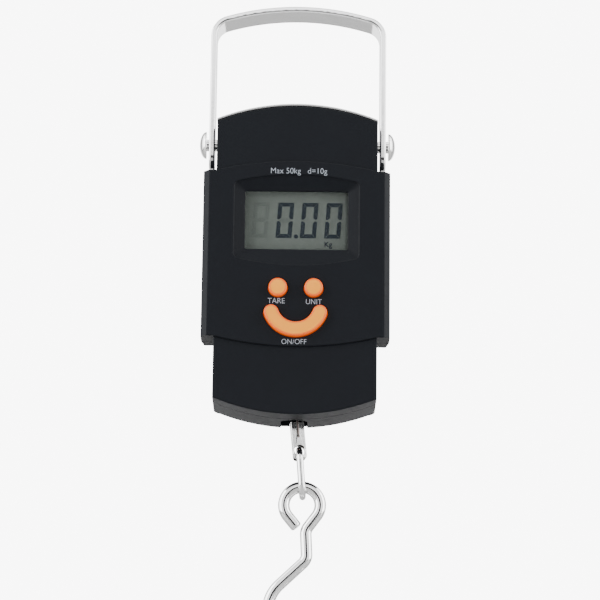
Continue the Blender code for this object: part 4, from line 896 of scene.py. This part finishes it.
# --- Buttons ------------------------------------------------------------------------------------------------
# Two round buttons and a curved one, moulded in orange plastic. Their satin crowns are painted paler, as if
# lit, and painted shade deepens the orange round the edges; a faint painted glow lights them all. Wide
# flanges behind the cover hold them in.

BUTTON_PROUD = 0.0025
FLANGE_FRONT, FLANGE_BACK, FLANGE_RADIUS, FLANGE_REACH = 0.0023, 0.0032, 0.0040, 0.0008
PEG_RADIUS, PEG_BACK = 0.0016, 0.0040


def button_finish(name, distance, edge):
    """Orange plastic, painted paler on the crown as if lit and deeper round the edge as if shaded, told apart
    by the distance from the middle of the button's face. It also gives off a faint painted glow.
    """
    material, shader, place = finish_of(
        name,
        Subsurface_Weight=0.12,
        Subsurface_Radius=(0.003, 0.0012, 0.0004),
        Subsurface_Scale=0.5,
        # Painted glow: the orange gives off a little light of its own, though no lamp is in it.
        Emission_Strength=0.35,
    )
    wobble = speckle(place, 0.0012) * 0.00025
    ring = distance(*parts_of(place, 0, 2)) + wobble
    # Painted light: rim is 0 on the crown, painted a paler orange as if lit, and 1 round the edge and side,
    # painted a deeper orange as if shaded.
    rim = eased(ring, edge - 0.0004, edge + 0.0002, 0.0, 1.0)
    mist = speckle(place, 0.0016)
    fine = speckle(place, 0.00018, 3.0)
    painted_lit_orange = blend_of(mist, (0.96, 0.31, 0.008), (1.0, 0.36, 0.014))
    deep = blend_of(mist, (0.80, 0.10, 0.002), (0.90, 0.15, 0.004))
    blend_of(rim, painted_lit_orange, deep).feed(shader, "Base Color")
    # Painted glow, brighter on the crown than on the shaded edge.
    blend_of(rim, (1.0, 0.42, 0.05), (0.9, 0.10, 0.0)).feed(shader, "Emission Color")
    (0.30 + fine * 0.18 + mist * 0.08).feed(shader, "Roughness")
    roughened(shader, place, fine, 0.00003, 0.3)
    return material


for node, side in (("tare_button", -1), ("unit_button", 1)):
    centre = spot(side * DOT_ACROSS, 0, DOT_HEIGHT)
    front = BUTTON_PROUD
    profile = [(0, front), (0.0012, front - 0.00002), (0.0022, front - 0.00010)]
    turns = [radians(turn) for turn in range(5, 91, 12)]
    profile += [(0.0026 + 0.0006 * sin(turn), front - 0.00082 + 0.00068 * cos(turn)) for turn in turns]
    profile += [(DOT_RADIUS, front - 0.0010), (DOT_RADIUS, -FLANGE_FRONT), (FLANGE_RADIUS, -FLANGE_FRONT)]
    profile += [(FLANGE_RADIUS, -FLANGE_BACK), (PEG_RADIUS, -FLANGE_BACK)]
    profile += [(PEG_RADIUS, -PEG_BACK), (0, -PEG_BACK)]
    button = turned(node, profile, centre, (pi / 2, 0, 0), 72)

    def from_centre(across, height):
        """Distance from the middle of a round button."""
        return ((across - centre.x) ** 2 + (height - centre.z) ** 2) ** 0.5

    orange = button_finish(f"{node} orange", from_centre, 0.00275)
    fit(button, f"{node}_cap", node, "button_plastic", orange, node, angle=35)

power_rings = [
    (smile_outline(-0.00075), BELT_FACE - 0.0017),
    (smile_outline(-0.00045), BELT_FACE - 0.00163),
    (smile_outline(-0.00020), BELT_FACE - 0.00145),
    (smile_outline(-0.00004), BELT_FACE - 0.00115),
    (smile_outline(0), BELT_FACE - 0.0008),
    (smile_outline(0), COLUMN_FACE + FLANGE_FRONT),
    (smile_outline(FLANGE_REACH), COLUMN_FACE + FLANGE_FRONT + 0.00001),
    (smile_outline(FLANGE_REACH), COLUMN_FACE + FLANGE_BACK),
]
power = lofted("power_button", power_rings)
peg = rod(PEG_RADIUS, 0, 0.0009)
peg_place = spot(0, FLANGE_BACK - 0.0001, SMILE_CENTRE - SMILE_RADIUS)
carve(power, turned("peg", peg, peg_place, (-pi / 2, 0, 0), 32), "UNION")
smile_middle = spot(0, 0, SMILE_CENTRE)
smile_end = arc((0, CASE_FOOT + SMILE_CENTRE), SMILE_RADIUS, 270, 270 + SMILE_SWEEP, 1)[1]


def from_spine(across, height):
    """Distance from the middle line of the curved button: an arc between two round ends."""
    radius = (across**2 + (height - smile_middle.z) ** 2) ** 0.5
    off_arc = across.math("ABSOLUTE", radius - SMILE_RADIUS)
    beside, above = across.math("ABSOLUTE", across) - smile_end[0], height - smile_end[1]
    to_end = (beside**2 + above**2) ** 0.5
    past_end = across.math("GREATER_THAN", height, smile_end[1] - 0.0001)
    return past_end * to_end + (1 - past_end) * off_arc


power_orange = button_finish("power button orange", from_spine, 0.0021)
fit(power, "power_button_cap", "power_button", "button_plastic", power_orange, "power_button", angle=35)

# --- Clevis -------------------------------------------------------------------------------------------------
# Folded from one plated strip: a tube that turns on the stem, closed by a seam down its front, and two flat
# ears below it that hold the link. Its sizes are on its own axes, from the load point down.

load_point = pivots["stem_swing"]
STEM_LEAN = radians(6.1)
CLEVIS_TURN = radians(7)
CLEVIS_HALF, CLEVIS_TOP, CLEVIS_END = 0.00225, 0.0055, 0.0212
TUBE_RADIUS, TUBE_END, TUBE_CURL = 0.0021, 0.0135, 0.0011
STEM_BORE, SLEEVE_BORE, SLEEVE_TOP = 0.00109, 0.00154, 0.0095
SEAM_HALF, SEAM_FLOOR = 0.00010, 0.00178
EAR_FACE, EAR_THICKNESS, EAR_HOLE, EAR_HOLE_DROP = 0.0020, 0.0008, 0.00195, 0.0181
leaning = Matrix.Rotation(-STEM_LEAN, 4, "Y") @ Matrix.Rotation(CLEVIS_TURN, 4, "Z")


def clevis_ear(side):
    """One flat ear, with round corners and broken edges."""
    near, far = sorted((side * EAR_FACE, side * (EAR_FACE - EAR_THICKNESS)))
    ear = block("ear", (-CLEVIS_HALF, near, -CLEVIS_END), (CLEVIS_HALF, far, -CLEVIS_TOP))
    soften(ear, 0.0012, 8, along_depth)
    soften(ear, 0.00018, 3, lambda a, b: alike(a.y, b.y))
    return ear


clevis = clevis_ear(-1)
carve(clevis, clevis_ear(1), "UNION")
tube = [(0, -CLEVIS_TOP - 0.0003), (TUBE_RADIUS - 0.00015, -CLEVIS_TOP - 0.0003)]
curl = TUBE_CURL - TUBE_END
tube += [(TUBE_RADIUS, -CLEVIS_TOP - 0.00045), (TUBE_RADIUS, curl)]
turns = [radians(turn) for turn in range(15, 91, 15)]
tube += [(TUBE_RADIUS - 0.0007 * (1 - cos(turn)), curl - 0.0010 * sin(turn)) for turn in turns]
tube += [(0, -TUBE_END)]
carve(clevis, turned("tube", tube, (0, 0, 0), steps=64), "UNION")
bore = [(0, 0), (STEM_BORE, 0), (STEM_BORE, -SLEEVE_TOP), (SLEEVE_BORE, -SLEEVE_TOP)]
bore += [(SLEEVE_BORE, -TUBE_END - 0.001), (0, -TUBE_END - 0.001)]
carve(clevis, turned("bore", bore, (0, 0, 0), steps=48))
ear_hole = rod(EAR_HOLE, BEYOND, -BEYOND)
carve(clevis, turned("ear_hole", ear_hole, (0, 0, -EAR_HOLE_DROP), (pi / 2, 0, 0), 64))
seam = block(
    "seam",
    (-SEAM_HALF, -TUBE_RADIUS - 0.001, -TUBE_END + 0.0004),
    (SEAM_HALF, -SEAM_FLOOR, -CLEVIS_TOP + 0.001),
)
carve(clevis, seam)
notch_points = [(-0.00045, -TUBE_END + 0.0001), (0.00045, -TUBE_END + 0.0001), (0, -TUBE_END + 0.0013)]
carve(clevis, plate("seam_end", [notch_points], -TUBE_RADIUS - 0.001, -0.0011))
clevis.matrix_world = Matrix.Translation(load_point) @ leaning
only(clevis)
bpy.ops.object.transform_apply()

clevis_chrome, shader, place = finish_of("plated clevis", Metallic=1.0)
haze = speckle(place, 0.004)
specks = speckle(place, 0.0006, 5.0)
tint = blend_of(haze, (0.74, 0.735, 0.72), (0.88, 0.88, 0.88))
down = place.node("ShaderNodeVectorMath", {"operation": "SUBTRACT"}, {0: place, 1: tuple(load_point)})
turned_back = place.node(
    "ShaderNodeVectorRotate", {"rotation_type": "EULER_XYZ", "invert": True},
    {"Vector": down, "Rotation": (0.0, -STEM_LEAN, 0.0)},
)
straight = place.node(
    "ShaderNodeVectorRotate", {"rotation_type": "Z_AXIS", "invert": True},
    {"Vector": turned_back, "Angle": CLEVIS_TURN},
)
across, deep, height = parts_of(straight, 0, 1, 2)
# Painted shade: a brownish darkening along the slit of the seam down the front of the tube, where the crease
# lies in shade; it is rougher there too.
off_seam = place.math("ABSOLUTE", across + (specks - 0.5) * 0.0001)
near_seam = eased(off_seam, SEAM_HALF, 0.00050, 1.0, 0.0)
in_front = place.math("LESS_THAN", deep, -0.0012) * place.math("GREATER_THAN", height, -TUBE_END - 0.0002)
seam_shade = near_seam * in_front * (0.55 + haze * 0.4)
# Painted shade: the inner faces of the ears round the link's hole are painted nearly black, as the shade that
# falls between the ears.
inside = place.math("LESS_THAN", place.math("ABSOLUTE", deep), EAR_FACE - 0.00015)
inside = inside * place.math("LESS_THAN", place.math("ABSOLUTE", across), EAR_HOLE + 0.00006)
inside = inside * place.math("LESS_THAN", height, -TUBE_END - 0.0001)
seam_shaded = blend_of(seam_shade, tint, (0.20, 0.085, 0.055))
blend_of(inside, seam_shaded, (0.045, 0.040, 0.036)).feed(shader, "Base Color")
(0.08 + haze * 0.08 + seam_shade * 0.3).feed(shader, "Roughness")
roughened(shader, place, haze * 0.7 + specks * 0.3, 0.00008, 0.3)
fit(clevis, "folded_clevis", "clevis", "chrome", clevis_chrome, "clevis")

# --- Link and hook ------------------------------------------------------------------------------------------
# The link is an oval of plated wire, welded shut. The hook is one plated wire bent into an eye, a shank and a
# bowl, with both of its ends rounded.


def bent_wire(name, points, radius, closed, matrix):
    """A round wire along points given on its own axes, rounded at its free ends and then put in its place."""
    curve = bpy.data.curves.new(name, "CURVE")
    curve.dimensions = "3D"
    curve.bevel_depth = radius
    curve.bevel_resolution = 10
    curve.use_fill_caps = not closed
    curve.twist_mode = "MINIMUM"
    spline = curve.splines.new("POLY")
    spline.points.add(len(points) - 1)
    for point, at in zip(spline.points, points):
        point.co = (*at, 1)
    spline.use_cyclic_u = closed
    piece = stood(name, curve)
    only(piece)
    bpy.ops.object.convert(target="MESH")
    welded(piece)
    if not closed:
        soften(piece, radius * 0.45, 4, lambda a, b: True)
    piece.matrix_world = matrix
    only(piece)
    bpy.ops.object.transform_apply()
    return piece


LINK_LEAN, HOOK_LEAN = radians(4.6), radians(1.3)
LINK_RADIUS, LINK_END, LINK_LENGTH = 0.00115, 0.00415, 0.0162
HOOK_RADIUS = 0.0020
EYE_RADIUS, BOWL_RADIUS, BOWL_DROP = 0.0062, 0.0120, 0.0361
EYE_OPENING, EYE_LEG, TIP_ANGLE, TIP_LENGTH = 38, 0.0050, -12, 0.0052
SHANK_TOP, SHANK_FOOT = (0.0011, -0.0149), (0.0014, -0.0249)

ear_middle = EAR_FACE - EAR_THICKNESS / 2
rise = sqrt(LINK_END**2 - ear_middle**2)
run = LINK_LENGTH - 2 * LINK_END
link_points = arc((0, -rise), LINK_END, 0, 180, 40) + arc((0, -rise - run), LINK_END, 180, 360, 40)
link_at = Matrix.Translation(pivots["link_swing"]) @ Matrix.Rotation(-LINK_LEAN, 4, "Y")
link = bent_wire("link_ring", [(0, y, z) for y, z in link_points], LINK_RADIUS, True, link_at)
fit(link, "oval_link", "link_ring", "chrome", wire_chrome, "link_ring", angle=50)


def hook_route():
    """The bent wire seen from the front, from its free end round the eye and the bowl to its tip."""
    eye = (0, -EYE_RADIUS)
    bowl = (0, eye[1] - BOWL_DROP)
    points = arc(eye, EYE_RADIUS, 180 + EYE_OPENING, -EYE_OPENING, 72)
    opening = radians(EYE_OPENING)
    free_end = (points[0][0] + EYE_LEG * sin(opening), points[0][1] - EYE_LEG * cos(opening))
    from_bowl = Vector(SHANK_FOOT) - Vector(bowl)
    tangent = degrees(atan2(from_bowl.y, from_bowl.x) + acos(BOWL_RADIUS / from_bowl.length))
    bowl_points = arc(bowl, BOWL_RADIUS, tangent, 360 + TIP_ANGLE, 80)
    tip = radians(TIP_ANGLE)
    last = bowl_points[-1]
    tip_end = (last[0] - sin(tip) * TIP_LENGTH, last[1] + cos(tip) * TIP_LENGTH)
    neck = bend(points[-1], SHANK_TOP, SHANK_FOOT, 0.0040, 14)
    jog = bend(SHANK_TOP, SHANK_FOOT, bowl_points[0], 0.0040, 14)
    return [free_end, *points, *neck, *jog, *bowl_points, tip_end]


hook_at = Matrix.Translation(pivots["hook_swing"]) @ Matrix.Rotation(-HOOK_LEAN, 4, "Y")
hook = bent_wire("hook", [(x, 0, z) for x, z in hook_route()], HOOK_RADIUS, False, hook_at)
fit(hook, "wire_hook", "hook", "chrome", wire_chrome, "hook", angle=50)

# --- Display window and glass -------------------------------------------------------------------------------
# A clear flat window behind the surround, and under it a liquid-crystal panel with a greenish-grey backing.
# The backing darkens at its right end, where the surround shades it.

clear, shader, place = finish_of("clear acrylic", IOR=1.49, Specular_IOR_Level=0.35)
smears = streaks(place, 180.0, 5.0, 2.0)
blend_of(smears, (0.10, 0.11, 0.11), (0.14, 0.15, 0.15)).feed(shader, "Base Color")
(0.03 + smears * 0.10).feed(shader, "Roughness")
(0.03 + smears * 0.03).feed(shader, "Alpha")
roughened(shader, place, smears, 0.00003, 0.15)
for slot in frame["nodes"]["display_window"].material_slots:
    slot.material = clear

panel, shader, place = finish_of("display backing", Specular_IOR_Level=0.08)
mottle = speckle(place, 0.0035, 6.0)
fine = speckle(place, 0.00025, 3.0)
(across,) = parts_of(place, 0)
tone = mottle * 0.7 + fine * 0.3
backing = blend_of(tone, (0.108, 0.128, 0.114), (0.158, 0.180, 0.163))
edge = eased(across, WINDOW_HALF - 0.0012, WINDOW_HALF - 0.0002, 0.0, 0.75)
blend_of(edge, backing, (0.025, 0.028, 0.028)).feed(shader, "Base Color")
(0.35 + mottle * 0.2).feed(shader, "Roughness")
roughened(shader, place, fine, 0.00002, 0.2)
for slot in frame["nodes"]["display_glass"].material_slots:
    slot.material = panel

# --- Display figures ----------------------------------------------------------------------------------------
# Dark seven-segment figures, their dot and the unit, which show in the panel. One more figure and one bar are
# unlit and barely show.

glass_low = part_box("display_glass")[0]
FIGURE_TALL, FIGURE_WIDE, STROKE = 0.0127, 0.0055, 0.0014
FIGURE_SLANT = radians(4)
FIGURE_PITCH, LAST_FIGURE = 0.0084, 0.0128
WINDOW_MIDDLE = CASE_FOOT + 0.0691
MITRE, BREAK = 0.00008, 0.00028


def segments():
    """The seven strokes of one figure round its own middle, each a six-sided outline with mitred ends."""
    wide, tall = FIGURE_WIDE / 2, FIGURE_TALL / 2
    inner, reach, gap = wide - STROKE, tall - STROKE, MITRE
    top = [(-wide + gap, tall), (wide - gap, tall), (inner - gap, reach), (-inner + gap, reach)]
    half = STROKE / 2
    tip = inner + half
    bar = [(-inner, half), (inner, half), (tip, 0), (inner, -half), (-inner, -half), (-tip, 0)]
    side = [(wide, tall - gap), (wide, BREAK + 0.0002), (wide - half, BREAK)]
    side += [(inner, BREAK + half), (inner, reach - gap)]
    strokes = {"top": top, "bar": bar, "high_right": side}
    strokes["foot"] = [(x, -z) for x, z in reversed(top)]
    strokes["low_right"] = [(x, -z) for x, z in reversed(side)]
    strokes["high_left"] = [(-x, z) for x, z in reversed(side)]
    strokes["low_left"] = [(-x, -z) for x, z in side]
    return strokes


def slanted(points, middle):
    """One stroke leaned over and moved to the middle of its figure."""
    lean = sin(FIGURE_SLANT) / cos(FIGURE_SLANT)
    return [(middle + x + z * lean, WINDOW_MIDDLE + z) for x, z in points]



def segment_finish(name, dark, light):
    """The even, matt tone of a stroke in the panel."""
    material, shader, place = finish_of(name, Specular_IOR_Level=0.05)
    soft = speckle(place, 0.0012)
    blend_of(soft, dark, light).feed(shader, "Base Color")
    (0.35 + soft * 0.2).feed(shader, "Roughness")
    roughened(shader, place, soft, 0.00001, 0.1)
    return material


lit = segment_finish("lit segments", (0.007, 0.013, 0.019), (0.014, 0.022, 0.031))
unlit = segment_finish("unlit segments", (0.100, 0.118, 0.106), (0.126, 0.146, 0.132))

FIGURE_FRONT, FIGURE_BACK = glass_low.y - 0.00008, glass_low.y - 0.00002
shapes = segments()
NOUGHT = ("top", "foot", "high_left", "high_right", "low_left", "low_right")
for number, column in enumerate(("hundredths", "tenths", "units")):
    middle = LAST_FIGURE - FIGURE_PITCH * number
    figure = plate(column, [slanted(shapes[stroke], middle) for stroke in NOUGHT], FIGURE_FRONT, FIGURE_BACK)
    fit(figure, f"figure_{column}", "case", "display", lit)
    if column == "units":
        ghost = plate("unlit_bar", [slanted(shapes["bar"], middle)], FIGURE_FRONT, FIGURE_BACK)
        fit(ghost, "unlit_bar", "case", "display", unlit)
tens = [slanted(points, LAST_FIGURE - FIGURE_PITCH * 3) for points in shapes.values()]
ghost = plate("unlit_tens", tens, FIGURE_FRONT, FIGURE_BACK)
fit(ghost, "figure_tens", "case", "display", unlit)
POINT_RADIUS, POINT_PLACE = 0.00075, (-0.00014, WINDOW_MIDDLE - 0.0058)
dot = plate("dot", [arc(POINT_PLACE, POINT_RADIUS, 0, 352, 44)], FIGURE_FRONT, FIGURE_BACK)
fit(dot, "figure_dot", "case", "display", lit)


CAP_SHARE = 0.70  # how much of the type's size its capitals are tall


def lettering(name, words, cap_height, centre, face, thick, stretch=0.93, weight=-0.012):
    """Words set in plain type with this cap height, lying on a face and centred on a place (x, z)."""
    curve = bpy.data.curves.new(name, "FONT")
    curve.body = words
    curve.align_x, curve.align_y = "CENTER", "CENTER"
    curve.size = cap_height / CAP_SHARE
    curve.offset = cap_height * weight
    curve.extrude = thick / 2
    curve.resolution_u = 6
    piece = stood(name, curve)
    only(piece)
    bpy.ops.object.convert(target="MESH")
    piece.scale.x = stretch
    piece.rotation_euler.x = pi / 2
    piece.location = (centre[0], face - thick / 2, centre[1])
    bpy.ops.object.transform_apply()
    return welded(piece)


unit_place = (0.0110, WINDOW_MIDDLE - 0.0086)
unit_sign = lettering("unit_sign", "Kg", 0.0019, unit_place, FIGURE_BACK, 0.00006, weight=0.02)
fit(unit_sign, "unit_sign", "case", "display", lit)

# --- Printing on the case -----------------------------------------------------------------------------------
# Thin pale ink on the belt: the range above the display and a plain label for each button.

ink, shader, place = finish_of("pale ink", Specular_IOR_Level=0.3)
cover = speckle(place, 0.0004, 4.0)
blend_of(cover, (0.40, 0.44, 0.50), (0.56, 0.61, 0.68)).feed(shader, "Base Color")
(0.45 + cover * 0.25).feed(shader, "Roughness")
roughened(shader, place, cover, 0.00001, 0.3)

LABELS = [
    ("range_print", "Max 50kg   d=10g", 0.00205, (0.0006, 0.0857)),
    ("tare_print", "TARE", 0.0019, (-0.0066, 0.0392)),
    ("unit_print", "UNIT", 0.0018, (0.0062, 0.0390)),
    ("power_print", "ON/OFF", 0.0018, (-0.0004, 0.0249)),
]
INK_DEPTH, INK_THICKNESS = 0.00001, 0.00003
for name, words, cap_height, (x, height) in LABELS:
    centre = (x, CASE_FOOT + height)
    label = lettering(name, words, cap_height, centre, BELT_FACE + INK_DEPTH, INK_THICKNESS)
    fit(label, name, "case", "case_plastic", ink)

# --- Inside pieces ------------------------------------------------------------------------------------------
# What the case hides: circuit board, rubber pad, hanger plate, load cell, batteries and their contacts. Each
# keeps its own mesh and takes the finish of the stuff it is made of.

INSIDE_FINISHES = {
    # slot: (dark shade, light shade, metallic, roughness, size of the grain)
    "board": ((0.010, 0.060, 0.022), (0.022, 0.110, 0.045), 0.0, 0.45, 0.0018),
    "silicone": ((0.30, 0.31, 0.33), (0.40, 0.41, 0.43), 0.0, 0.62, 0.0009),
    "white_plastic": ((0.62, 0.62, 0.60), (0.76, 0.76, 0.74), 0.0, 0.45, 0.0012),
    "epoxy": ((0.006, 0.006, 0.007), (0.016, 0.016, 0.018), 0.0, 0.32, 0.0015),
    "steel": ((0.40, 0.40, 0.41), (0.60, 0.60, 0.59), 1.0, 0.30, 0.0008),
    "aluminium": ((0.66, 0.67, 0.68), (0.82, 0.82, 0.83), 1.0, 0.38, 0.0006),
    "gauge_foil": ((0.50, 0.30, 0.08), (0.70, 0.46, 0.16), 0.2, 0.40, 0.0005),
    "battery_skin": ((0.08, 0.16, 0.22), (0.14, 0.26, 0.34), 0.4, 0.30, 0.0020),
    "chrome": ((0.70, 0.70, 0.70), (0.86, 0.86, 0.86), 1.0, 0.14, 0.0015),
    "case_plastic": ((0.008, 0.009, 0.012), (0.016, 0.018, 0.022), 0.0, 0.50, 0.0010),
    "display": ((0.10, 0.12, 0.11), (0.16, 0.18, 0.16), 0.0, 0.40, 0.0010),
}
KEPT = [
    "display_frame", "zebra_strip", "circuit_board", "chip_cap", "rubber_keypad", "hanger_plate", "load_cell",
    "strain_gauge_left", "strain_gauge_right", "cell_screw_upper", "cell_screw_lower", "load_pin",
    "gauge_leads", "battery_upper", "battery_lower", "battery_contact_left", "battery_contact_right",
    "contact_spring_upper", "contact_spring_lower", "load_stem",
    *(f"board_screw_{corner}" for corner in CORNERS),
]
made = {}
for node in KEPT:
    for holder in frame["nodes"][node].material_slots:
        kind = holder.material.name.split(".")[0]
        if kind not in made:
            dark, light, metallic, roughness, size = INSIDE_FINISHES[kind]
            made[kind], shader, place = finish_of(f"inside {kind}", Metallic=metallic)
            grain = speckle(place, size, 4.0)
            fine = speckle(place, size / 5, 2.0)
            blend_of(grain * 0.7 + fine * 0.3, dark, light).feed(shader, "Base Color")
            (roughness - 0.06 + grain * 0.14).feed(shader, "Roughness")
            roughened(shader, place, fine, 0.00003, 0.3)
        holder.material = made[kind]
